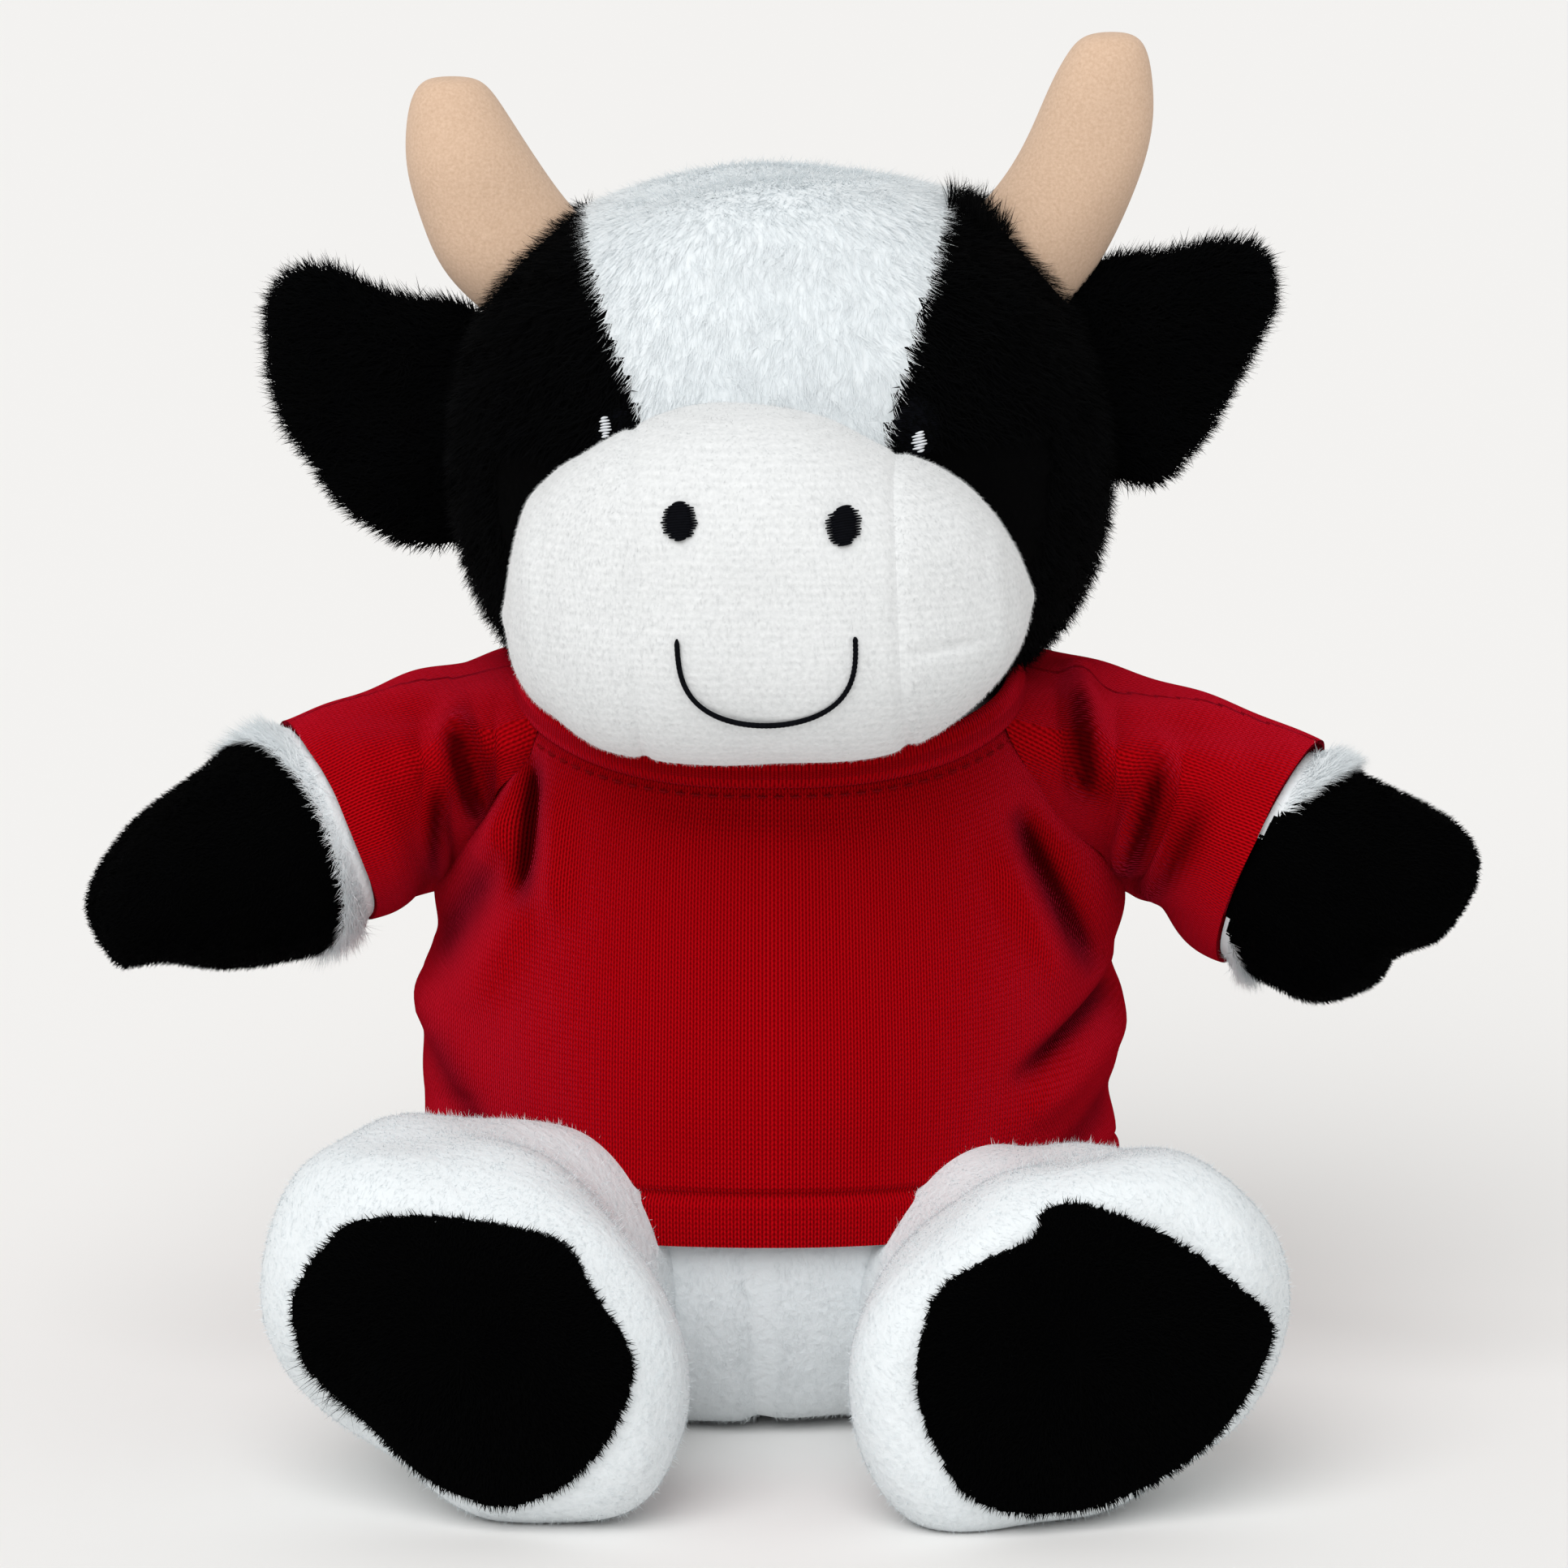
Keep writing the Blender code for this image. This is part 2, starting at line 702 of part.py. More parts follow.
def tail_rings():
    stations = []
    for length, radius in TAIL_RING_SHARES:
        place = length * (TAIL_LENGTH + TAIL_ROOT) - TAIL_ROOT
        step = place - sum(station[0] for station in stations)
        heading = TAIL_BASE_HEADING + length * (TAIL_TIP_HEADING - TAIL_BASE_HEADING)
        stations.append((step, heading, radius * TAIL_RADIUS, radius * TAIL_RADIUS))
    return spine_rings(stations, LIMB_SIDES)


def make_tail(pivot):
    angles = (-TAIL_SWING, 0, TAIL_SWING)
    still = swing_cutters(shirt_clearance, pivot, (0, 0, 1), angles)
    share = TAIL_TUFT_SHARE
    heading = TAIL_BASE_HEADING + share * (TAIL_TIP_HEADING - TAIL_BASE_HEADING)
    mean = (TAIL_BASE_HEADING + heading) / 2
    place = share * TAIL_LENGTH * Vector((math.cos(mean), 0, math.sin(mean)))
    along = Vector((math.cos(heading), 0, math.sin(heading)))
    cord = as_piece(form("tail_cord", tail_rings(), 0.0, pivot), "white_pile")
    cut(cord, *still, half_space("past_cord", place, along, pivot))
    combine(cord, ball("tail_ball", TAIL_BALL, pivot), "UNION")
    tuft = as_piece(form("tail_tuft", tail_rings(), 0.0, pivot), "black_pile")
    cut(tuft, half_space("before_tuft", place + GAP * along, -along, pivot))


# Head, in the head frame: the neck is at its origin


def head_rings(sides, round_share=0.0):
    """The head's rings, or with a round_share of 1 the turned shape that clears it as it turns."""
    widen = 1 / math.cos(math.pi / (2 * sides)) if round_share else 1.0
    rings = []
    for height, width, depth in HEAD_RING_SHARES:
        half_width = width * HEAD_WIDTH / 2
        half_depth = depth * HEAD_DEPTH / 2
        half_depth += round_share * (half_width - half_depth)
        centre = Vector((0, 0, height * HEAD_HEIGHT))
        rings.append(ring(centre, math.pi / 2, widen * half_depth, widen * half_width, sides))
    return rings


def head_form(name, offset, neck):
    return form(name, head_rings(BODY_SIDES), offset, neck)


def head_core(name, offset, neck):
    return core_form(name, head_rings(BODY_SIDES), offset, neck)


def muzzle_rings():
    half = MUZZLE_OUTLINE_SHARES
    mirrored = [(-x, z) for x, z in reversed(half[1:-1])]
    outline = [*half, *mirrored]
    rings = []
    for reach, size in MUZZLE_RING_SHARES:
        rings.append(
            [
                Vector(
                    (
                        size * x * MUZZLE_WIDTH / 2,
                        -reach * MUZZLE_REACH,
                        size * z * MUZZLE_HEIGHT / 2 + MUZZLE_LIFT,
                    )
                )
                for x, z in outline
            ]
        )
    return rings


def muzzle_form(name, offset, neck):
    return form(name, muzzle_rings(), offset, neck)


def muzzle_core(name, offset, neck):
    return core_form(name, muzzle_rings(), offset, neck)


def blaze_outline(spare):
    """The blaze seen from the front: it narrows to its low width, and keeps it below."""
    top, low = BLAZE_TOP_HALF_WIDTH + spare, BLAZE_LOW_HALF_WIDTH + spare
    rise = (HEAD_HEIGHT - BLAZE_LOW_HEIGHT) * 2
    flared = low + (top - low) * 2
    base = -HEAD_HEIGHT / 2
    turn = BLAZE_LOW_HEIGHT
    return [
        (-low, base),
        (low, base),
        (low, turn),
        (flared, turn + rise),
        (-flared, turn + rise),
        (-low, turn),
    ]


def make_head(neck, hollow):
    mouth = as_cutter(muzzle_form("muzzle_hole", GAP, neck))
    reach = HEAD_DEPTH
    blaze = as_piece(head_form("blaze", 0.0, neck), "white_pile")
    cut(blaze, hollow, mouth)
    keep(blaze, prism("blaze_shape", blaze_outline(0.0), -reach, reach, neck))
    hole = prism("blaze_hole", blaze_outline(GAP), -reach, reach, neck)
    for side in SIDES:
        panel = as_piece(head_form(f"head_side_{side}", 0.0, neck), "black_pile")
        other = half_space(f"other_side_{side}", (0, 0, 0), (-OUTWARD[side], 0, 0), neck)
        cut(panel, hollow, mouth, hole, other)
    core = as_piece(head_core("head_stuffing", -PILE_FABRIC - GAP, neck), "fibre_fill")
    fill = as_cutter(muzzle_core("muzzle_fill", -NAP_FABRIC - GAP, neck))
    combine(core, fill, "UNION")


def make_muzzle(neck, behind):
    hollow = as_cutter(muzzle_core("muzzle_hollow", -NAP_FABRIC, neck))
    seam = MUZZLE_SEAM_HALF_WIDTH
    centre = as_piece(muzzle_form("muzzle_centre", 0.0, neck), "white_nap")
    cut(centre, hollow, behind)
    for side in SIDES:
        out = (OUTWARD[side], 0, 0)
        inward = (-OUTWARD[side], 0, 0)
        cut(centre, half_space(f"past_seam_{side}", (seam * out[0], 0, 0), out, neck))
        cheek = as_piece(muzzle_form(f"muzzle_cheek_{side}", 0.0, neck), "white_nap")
        edge = ((seam + GAP) * out[0], 0, 0)
        cut(cheek, hollow, behind, half_space(f"before_seam_{side}", edge, inward, neck))


def patch(name, kind, surface, offset, outline, neck, near, *clear_of):
    """A thin sewn patch that follows the front of a soft form past y = near, one gap above it."""
    obj = as_piece(surface(name, offset + GAP + THREAD, neck), kind)
    keep(obj, prism(f"{name}_shape", outline, near, -OVERRUN, neck))
    cut(obj, as_cutter(surface(f"{name}_under", offset + GAP, neck)), *clear_of)


def make_face(neck):
    muzzle = as_cutter(muzzle_form("muzzle_clear", GAP, neck))
    for side in SIDES:
        out = OUTWARD[side]
        nostril = oval(out * NOSTRIL_X, NOSTRIL_HEIGHT, NOSTRIL_HALF_WIDTH, NOSTRIL_HALF_HEIGHT)
        patch(f"nostril_{side}", "dark_thread", muzzle_form, 0.0, nostril, neck, -MUZZLE_REACH / 2)
        eye = oval(out * EYE_X, EYE_HEIGHT, EYE_HALF_WIDTH, EYE_HALF_HEIGHT)
        patch(f"eye_{side}", "dark_thread", head_form, 0.0, eye, neck, 0, muzzle)
        glint = oval(out * EYE_X, GLINT_HEIGHT, GLINT_HALF_WIDTH, GLINT_HALF_HEIGHT)
        patch(f"eye_glint_{side}", "pale_thread", head_form, GAP + THREAD, glint, neck, 0, muzzle)


def smile_path():
    """Points (x, z) down one side of the smile, round its foot and up the other side."""
    depth = SMILE_TOP_HEIGHT - SMILE_LOW_HEIGHT
    points = []
    for i in range(SMILE_POINTS):
        angle = math.pi * i / (SMILE_POINTS - 1)
        drop = math.sin(angle) ** SMILE_ROUND_SHARE
        points.append((-SMILE_HALF_WIDTH * math.cos(angle), SMILE_TOP_HEIGHT - depth * drop))
    return points


def make_smile(neck):
    """A stitched line laid on the muzzle: each point is cast back onto it, then lifted clear."""
    bpy.context.view_layer.update()
    muzzle = bpy.data.objects["muzzle_centre"]
    guide = as_cutter(muzzle_form("smile_guide", 0.0, neck))
    bpy.context.view_layer.update()
    surface = BVHTree.FromObject(guide, bpy.context.evaluated_depsgraph_get())
    path = []
    for x, z in smile_path():
        hit, normal, _, _ = surface.ray_cast(Vector((x, -2 * MUZZLE_REACH, z)), Vector((0, 1, 0)))
        path.append(hit + (THREAD + 2 * GAP) * normal)
    curve = bpy.data.curves.new("smile", "CURVE")
    curve.dimensions = "3D"
    curve.bevel_depth = THREAD
    curve.bevel_resolution = 1
    curve.use_fill_caps = True
    line = curve.splines.new("POLY")
    line.points.add(len(path) - 1)
    for point, place in zip(line.points, path):
        point.co = (*place, 1)
    smile = as_piece(bpy.data.objects.new("smile", curve), "dark_thread")
    smile.parent = muzzle.parent


# Horns and ears


def horn_rings(side, sides):
    stations = [(-HORN_ROOT, HORN_BASE_HEADING, HORN_RADIUS, HORN_RADIUS)]
    reached = 0.0
    turn = HORN_TIP_HEADING - HORN_BASE_HEADING
    first = HORN_ROOT
    for length, radius in HORN_RING_SHARES:
        step = length * HORN_LENGTH - reached + first
        heading = HORN_BASE_HEADING + HORN_LEAN[side] + length * turn
        stations.append((step, heading, radius * HORN_RADIUS, radius * HORN_RADIUS))
        reached = length * HORN_LENGTH
        first = 0.0
    return spine_rings(stations, sides)


def horn_frame(side):
    out = OUTWARD[side]
    return frame_at((out * HORN_X, HORN_Y, HORN_BASE_HEIGHT), (out, 0, 0))


def make_horn(side, neck):
    frame = horn_frame(side)
    head = as_cutter(head_form(f"under_horn_{side}", GAP, neck))
    rings = horn_rings(side, HORN_SIDES)
    horn = as_piece(form(f"horn_{side}", rings, 0.0, neck, frame), "tan_velboa")
    cut(horn, as_cutter(core_form(f"horn_inside_{side}", rings, -VELBOA, neck, frame)), head)
    name = f"horn_stuffing_{side}"
    core = as_piece(core_form(name, rings, -VELBOA - GAP, neck, frame), "fibre_fill")
    cut(core, head)


def ear_rings():
    stations = []
    for length, height, thickness in EAR_RING_SHARES:
        place = length * (EAR_LENGTH + EAR_ROOT) - EAR_ROOT
        step = place - sum(station[0] for station in stations)
        half_thickness = thickness * EAR_HALF_THICKNESS
        stations.append((step, EAR_RISE, half_thickness, height * EAR_HALF_HEIGHT))
    return spine_rings(stations, LIMB_SIDES)


def make_ear(side, neck, pivot):
    def head_clearance(name):
        return head_form(f"head_{name}", GAP, None)

    angles = (-EAR_FLOP, 0, EAR_FLOP)
    rings = horn_rings(side, HORN_SIDES)
    still = [as_cutter(form(f"horn_by_ear_{side}", rings, GAP, neck, horn_frame(side)))]
    for i, angle in enumerate(angles):
        copy = head_clearance(f"{side}_ear_{i}")
        copy.matrix_basis = turned_about(pivot, (0, 0, 1), -angle) @ neck.matrix_world
        still.append(as_cutter(copy))
    for name, toward in (("front", 1), ("back", -1)):
        toward = toward * OUTWARD[side]
        panel = as_piece(form(f"ear_{name}_{side}", ear_rings(), 0.0, pivot), "black_pile")
        seam = half_space(f"ear_seam_{name}_{side}", (0, -toward * GAP / 2, 0), (0, toward, 0), pivot)
        cut(panel, *still, seam)


# Assembly


def neck_frame():
    turn = Matrix.Rotation(HEAD_TILT, 4, "Y") @ Matrix.Rotation(HEAD_LOOK, 4, "Z")
    return Matrix.Translation((NECK_X, 0, NECK_HEIGHT)) @ turn


def arm_frame(side):
    out = OUTWARD[side]
    level = Vector((out * math.cos(ARM_LEAN), -math.sin(ARM_LEAN), 0))
    along = math.cos(ARM_DROOP) * level - Vector((0, 0, math.sin(ARM_DROOP)))
    return frame_at((out * ARM_X, ARM_Y, ARM_HEIGHT), along)


def leg_frame(side):
    out = OUTWARD[side]
    along = (out * math.sin(LEG_SPLAY), -math.cos(LEG_SPLAY), 0)
    return frame_at((out * LEG_X, LEG_Y, LEG_HALF_HEIGHT - FLOOR_CUT), along)


def make_joints():
    neck = joint_frame("neck_joint", neck_frame())
    joints = {"neck": neck}
    for side in SIDES:
        joints["arm", side] = joint_frame(f"arm_joint_{side}", arm_frame(side))
        joints["leg", side] = joint_frame(f"leg_joint_{side}", leg_frame(side))
        place = (OUTWARD[side] * EAR_X, EAR_Y, EAR_HEIGHT)
        ear = frame_at(place, (OUTWARD[side], 0, 0))
        joints["ear", side] = joint_frame(f"ear_joint_{side}", ear, neck)
    joints["tail"] = joint_frame("tail_joint", frame_at((0, TAIL_Y, TAIL_HEIGHT), (0, 1, 0)))
    return joints


def neck_clearances(neck):
    """The turned space that the head needs, and the muzzle at both ends of its turn."""
    bowl = as_cutter(form("head_bowl", head_rings(BODY_SIDES, 1.0), GAP, neck))
    sweep = []
    for i, angle in enumerate((-HEAD_TURN, 0, HEAD_TURN)):
        muzzle = muzzle_form(f"muzzle_sweep_{i}", GAP, None)
        muzzle.matrix_basis = turned_about(neck, (0, 0, 1), angle) @ neck.matrix_world
        sweep.append(as_cutter(muzzle))
    return bowl, sweep


def make_cow():
    joints = make_joints()
    neck = joints["neck"]
    bowl, muzzle_sweep = neck_clearances(neck)
    arm_sockets = [socket(f"shoulder_{s}", ARM_BALL, joints["arm", s]) for s in SIDES]
    leg_sockets = [socket(f"hip_{s}", LEG_BALL, joints["leg", s]) for s in SIDES]
    sockets = [*arm_sockets, *leg_sockets, bowl]
    tail_socket = socket("tail_root", TAIL_BALL, joints["tail"])
    make_torso([*sockets, tail_socket])
    make_shirt(sockets, muzzle_sweep)
    for side, shoulder, hip in zip(SIDES, arm_sockets, leg_sockets):
        make_arm(side, joints["arm", side], shoulder)
        make_leg(side, joints["leg", side], hip)
    make_tail(joints["tail"])
    head_hollow = as_cutter(head_core("head_hollow", -PILE_FABRIC, neck))
    make_head(neck, head_hollow)
    make_muzzle(neck, head_hollow)
    make_face(neck)
    make_smile(neck)
    for side in SIDES:
        make_horn(side, neck)
        make_ear(side, neck, joints["ear", side])


clear_scene()
PARTS = new_collection("plush_cow")
CUTTERS = new_collection("plush_cow_cutters")
FLOOR = half_space("floor", (0, 0, 0), (0, 0, -1))
make_cow()
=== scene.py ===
"""Looks of a seated plush cow: pile fabric, a jersey T-shirt and embroidery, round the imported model.

Metres, +Z up, the face toward -Y. Left and right are the viewer's, so left is -X.
Tables are in millimetres and are multiplied by MM where they are used.
"""

import math

import bpy
import numpy as np
from mathutils import Matrix, Vector


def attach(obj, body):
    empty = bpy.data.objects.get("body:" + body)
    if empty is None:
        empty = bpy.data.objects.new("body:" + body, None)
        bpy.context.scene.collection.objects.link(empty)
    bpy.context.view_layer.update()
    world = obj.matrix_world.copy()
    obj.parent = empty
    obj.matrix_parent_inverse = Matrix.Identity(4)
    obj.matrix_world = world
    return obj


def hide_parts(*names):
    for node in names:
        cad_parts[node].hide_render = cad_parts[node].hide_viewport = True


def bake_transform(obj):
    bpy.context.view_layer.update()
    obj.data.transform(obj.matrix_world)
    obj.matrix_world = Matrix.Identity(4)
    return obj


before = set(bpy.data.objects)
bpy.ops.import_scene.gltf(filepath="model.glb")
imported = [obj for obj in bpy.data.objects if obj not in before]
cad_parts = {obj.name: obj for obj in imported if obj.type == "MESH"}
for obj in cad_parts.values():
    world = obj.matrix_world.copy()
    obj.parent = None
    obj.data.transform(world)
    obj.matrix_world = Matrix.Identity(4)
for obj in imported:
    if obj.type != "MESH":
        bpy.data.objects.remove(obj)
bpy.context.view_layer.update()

MM = 0.001
SIDES = ("left", "right")
OUTWARD = {"left": -1, "right": 1}
SEED = 20
# Shares of the strands and of the mesh cells that are built, which keep the whole under 2 million faces
PILE_DETAIL = 0.92
CELL_DETAIL = 0.42

# Light and camera
KEY_STRENGTH = 1.8
KEY_SPREAD = math.radians(50.0)
KEY_PLACE = (-0.5, -1.6, 1.6)
SKY_STRENGTH = 0.64
SKY_COLOUR = (1.0, 0.995, 0.985, 1.0)
BACKDROP_STRENGTH = 0.9
FLOOR_COLOUR = (0.875, 0.868, 0.858, 1.0)
FLOOR_SIZE = 30.0
CAMERA_ELEVATION = math.radians(10.0)
CAMERA_DISTANCE = 1.10
CAMERA_TARGET = (0.002, 0.0, 0.092)
SENSOR_WIDTH = 36.0
CAMERA_LENS = 168.0

# Torso and the shirt on it: rows of (height, 0, half width, half depth)
TORSO_ROWS = (
    (-0.2, 0.0, 33.3, 28.2),
    (3.5, 0.0, 43.5, 35.8),
    (22.2, 0.0, 49.0, 40.8),
    (56.2, 0.0, 51.2, 41.2),
    (88.0, 0.0, 49.0, 36.9),
    (105.0, 0.0, 44.9, 31.5),
    (113.0, 0.0, 30.3, 20.8),
)
SHIRT_EASE = 1.7 * MM
JERSEY = 1.2 * MM
HEM_HEIGHT = 31.2 * MM
HEM_FOLD = 38.4 * MM
NECKLINE_FRONT = 97.5 * MM
NECKLINE_RISE = 12.5 * MM  # how much higher the neck seam is behind
SIDE_SEAMS = (0.5392, 0.9608)  # left and right, as shares of the way round from +X

# Pile, fill and floor
PILE_BACKING = 1.2 * MM
NAP_BACKING = 0.8 * MM
FILL_INSET = 1.6 * MM
ON_FLOOR = 0.3 * MM

# Coats of pile: how many strands, their length, their width, and their lean from upright in radians
TORSO_COAT = (9000, 1.3 * MM, 0.13 * MM, 1.2)
BACK_COAT = (18000, 1.3 * MM, 0.13 * MM, 1.2)
CUFF_COAT = (14000, 2.6 * MM, 0.16 * MM, 1.25)
CUFF_LOOSE = (6500, 3.7 * MM, 0.15 * MM, 0.8)
HOOF_COAT = (22000, 1.3 * MM, 0.26 * MM, 0.9)
LEG_COAT = (26000, 1.5 * MM, 0.13 * MM, 1.38)
LEG_LOOSE = (3000, 1.5 * MM, 0.09 * MM, 0.7)
SOLE_COAT = (20000, 1.5 * MM, 0.24 * MM, 1.0)
SOLE_FRAYED = (260, 3.6 * MM, 0.12 * MM, 0.9)
BLAZE_COAT = (36000, 2.8 * MM, 0.16 * MM, 1.36)
BLAZE_LOOSE = (5000, 2.6 * MM, 0.12 * MM, 0.9)
HEAD_COAT = (34000, 3.4 * MM, 0.28 * MM, 0.9)
HORN_SIDE_TUFT = (600, 5.0 * MM, 0.3 * MM, 0.6)
MUZZLE_COAT = (10000, 0.9 * MM, 0.1 * MM, 1.2)
EAR_COAT = (11000, 3.0 * MM, 0.3 * MM, 0.85)
EAR_TIP_COAT = (1200, 4.0 * MM, 0.24 * MM, 0.8)
TAIL_COAT = (5000, 2.0 * MM, 0.34 * MM, 0.95)
TUFT_COAT = (7000, 5.0 * MM, 0.36 * MM, 0.95)

# Head frame
NECK = np.array((3.0, 0.0, 103.5)) * MM
HEAD_TURN = np.array(
    Matrix.Rotation(math.radians(-2.5), 3, "Y") @ Matrix.Rotation(math.radians(-2.0), 3, "Z")
)
HEAD_ROWS = (
    (0.6, 0.0, 16.2, 15.9),
    (3.2, 0.0, 31.0, 29.8),
    (11.1, 0.0, 42.2, 38.0),
    (26.9, 0.0, 49.2, 41.8),
    (47.4, 0.0, 50.0, 42.6),
    (66.4, 0.0, 42.0, 37.4),
    (76.0, 0.0, 29.8, 27.3),
    (78.6, 0.0, 16.2, 15.5),
)

# Muzzle in the head frame, as columns across it: (across, low, high, back, reach)
MUZZLE_COLUMNS = (
    (-38.6, 18.5, 26.1, 40.1, 47.9),
    (-37.6, 15.5, 30.5, 38.0, 54.0),
    (-35.4, 11.6, 37.4, 35.0, 60.0),
    (-31.5, 8.0, 42.4, 32.0, 64.5),
    (-25.5, 4.2, 46.4, 30.0, 69.0),
    (-18.5, 2.4, 49.6, 30.0, 71.8),
    (-9.5, 1.6, 52.2, 30.0, 73.6),
    (0.0, 1.4, 52.2, 30.0, 74.0),
    (8.5, 1.6, 49.8, 30.0, 73.7),
    (17.0, 2.6, 45.2, 30.0, 72.0),
    (24.5, 5.2, 41.6, 30.0, 69.0),
    (30.5, 9.4, 37.0, 32.0, 64.5),
    (34.2, 13.6, 32.4, 35.0, 60.0),
    (36.2, 17.0, 28.4, 38.0, 54.0),
    (37.0, 19.6, 25.4, 40.2, 47.8),
)
MUZZLE_ENDS = np.array((-38.9, 37.3)) * MM
MUZZLE_SEAM = 18.7 * MM
SQUARENESS = 2.1  # power of the superellipses of the torso, head and arms
LEG_SQUARENESS = 2.15
MUZZLE_SQUARENESS = 2.5


# Arrays and curves


def unit(vectors):
    """Each vector over its own length."""
    return vectors / np.maximum(np.linalg.norm(vectors, axis=-1, keepdims=True), 1e-12)


def drawn(controls, at):
    """Uniform cubic B-spline: the four controls round each place, weighted by the cubic basis."""
    first = np.clip(np.floor(at).astype(int), 0, len(controls) - 4)
    f = (at - first)[..., None]
    a, b, c, d = (controls[first + k] for k in range(4))
    ease = (1 - f) ** 3 * a + (3 * f**3 - 6 * f**2 + 4) * b
    return (ease + (-3 * f**3 + 3 * f**2 + 3 * f + 1) * c + f**3 * d) / 6


def through(stations, values, at):
    """Cubic Hermite curve through the values, with the slope at each from its two neighbours."""
    stations = np.asarray(stations, float)
    values = np.asarray(values, float)
    slopes = np.gradient(values, stations, axis=0)
    at = np.clip(at, stations[0], stations[-1])
    i = np.clip(np.searchsorted(stations, at, side="right") - 1, 0, len(stations) - 2)
    gap = stations[i + 1] - stations[i]
    f = (at - stations[i]) / gap
    if values.ndim > 1:
        f, gap = f[..., None], gap[..., None]
    near = (1 + 2 * f) * (1 - f) ** 2 * values[i] + f * (1 - f) ** 2 * gap * slopes[i]
    return near + f**2 * (3 - 2 * f) * values[i + 1] + f**2 * (f - 1) * gap * slopes[i + 1]


def closed_through(values, at):
    """The Hermite curve round a closed loop of evenly spaced values, for places from 0 to 1."""
    count = len(values)
    looped = np.concatenate([values[-3:], values, values[:3]])
    return through(np.arange(-3, count + 3), looped, (at % 1.0) * count)


def waver(places, wave, seed):
    """A smooth field from about -1 to 1: four sine waves of about this length in random directions."""
    rng = np.random.default_rng(seed)
    total = 0.0
    for _ in range(4):
        direction = unit(rng.normal(size=3)) * math.tau / (wave * rng.uniform(0.7, 1.4))
        total = total + np.sin(places @ direction + rng.uniform(0, math.tau))
    return total / 2.2


def along_axes(x_axis, z_axis=(0.0, 0.0, 1.0)):
    """The turn that takes local X to x_axis, and local Z as near z_axis as it can be. Y is the cross
    product of z_axis and X, and Z that of X and Y."""
    x = unit(np.array(x_axis, float))
    y = unit(np.cross(z_axis, x))
    return np.stack([x, y, np.cross(x, y)], axis=1)


def step_between(values, low, high):
    """From 0 at low to 1 at high, level at both ends: 3 s^2 - 2 s^3 of the share s between them."""
    share = np.clip((values - low) / (high - low), 0, 1)
    return share * share * (3 - 2 * share)


def bell(off, width):
    """exp(-(off / width)^2)."""
    return np.exp(-((off / width) ** 2))


# Upright forms have local X up, local Y across and local Z toward the back
UPRIGHT = np.array([[0.0, 1.0, 0.0], [0.0, 0.0, 1.0], [1.0, 0.0, 0.0]])


def superellipse(u, power):
    """Places (y, z) round the curve |y|^power + |z|^power = 1, from the cosine and sine of a full turn."""
    angle = math.tau * u
    return [np.sign(part) * np.abs(part) ** (2 / power) for part in (np.cos(angle), np.sin(angle))]


def drawn_rows(rows, v):
    """The rows of a form at v, drawn by a B-spline that closes to a pole past each end."""
    rows = np.array(rows) * MM
    pole, mirror = np.array((1, 1, 0, 0)), np.array((1, 1, -1, -1))
    controls = np.vstack([rows[0] * mirror, rows[0] * pole, rows, rows[-1] * pole, rows[-1] * mirror])
    return drawn(controls, v * (len(rows) + 1))


def soft_form(rows, place, turn, power=2.0, bend=None):
    """Rings (along, rise, half across, half up) drawn into one smooth form. A ring is a superellipse
    round the rise of its centre."""

    def surface(u, v):
        along, rise, across, up = np.moveaxis(drawn_rows(rows, v), -1, 0)
        y, z = superellipse(u, power)
        local = np.stack([along, across * y, rise + up * z], axis=-1)
        if bend is not None:
            local = bend(local)
        return local @ turn.T + place

    return surface


def arched(start, end, length):
    """Bends local X into an arc whose heading turns evenly from the start to the end angle. The
    middle line is the integral of the heading's cosine and sine, and Z stands square to it."""
    rate = (end - start) / length

    def bend(local):
        x, y, z = np.moveaxis(local, -1, 0)
        angle = start + rate * x
        middle_x = (np.sin(angle) - math.sin(start)) / rate
        middle_z = (math.cos(start) - np.cos(angle)) / rate
        return np.stack([middle_x - z * np.sin(angle), y, middle_z + z * np.cos(angle)], -1)

    return bend


def frame_of(surface, u, v):
    """Place, outward normal and share of area: the cross product of small steps along u and v."""
    step = 1e-3
    v = np.clip(v, 3 * step, 1 - 3 * step)
    across = surface(u + step, v) - surface(u - step, v)
    along = surface(u, v + step) - surface(u, v - step)
    normal = np.cross(across, along)
    size = np.linalg.norm(normal, axis=-1)
    return surface(u, v), normal / np.maximum(size, 1e-15)[..., None], size


def pushed(surface, amount):
    """The surface moved along its normals by amount(place): place + amount * normal."""

    def moved(u, v):
        place, normal, _ = frame_of(surface, u, v)
        return surface(u, v) + amount(place)[..., None] * normal

    return moved


def grounded(surface):
    """The surface, pressed flat where it would go below the floor."""

    def resting(u, v):
        places = surface(u, v)
        places[..., 2] = np.maximum(places[..., 2], ON_FLOOR)
        return places

    return resting


def crease(places, start, end, width, depth, plane=(0, 2)):
    """A soft ridge, or a groove where depth is negative, along a line seen from the front:
    depth times exp(-(distance / width)^2), fading out at both ends."""
    flat = places[..., plane]
    start, end = np.array(start) * MM, np.array(end) * MM
    line = end - start
    share = np.clip((flat - start) @ line / (line @ line), 0, 1)
    distance = np.linalg.norm(flat - start - share[..., None] * line, axis=-1)
    return depth * MM * bell(distance, width * MM) * (1 - (2 * share - 1) ** 4 * 0.6)


# Meshes


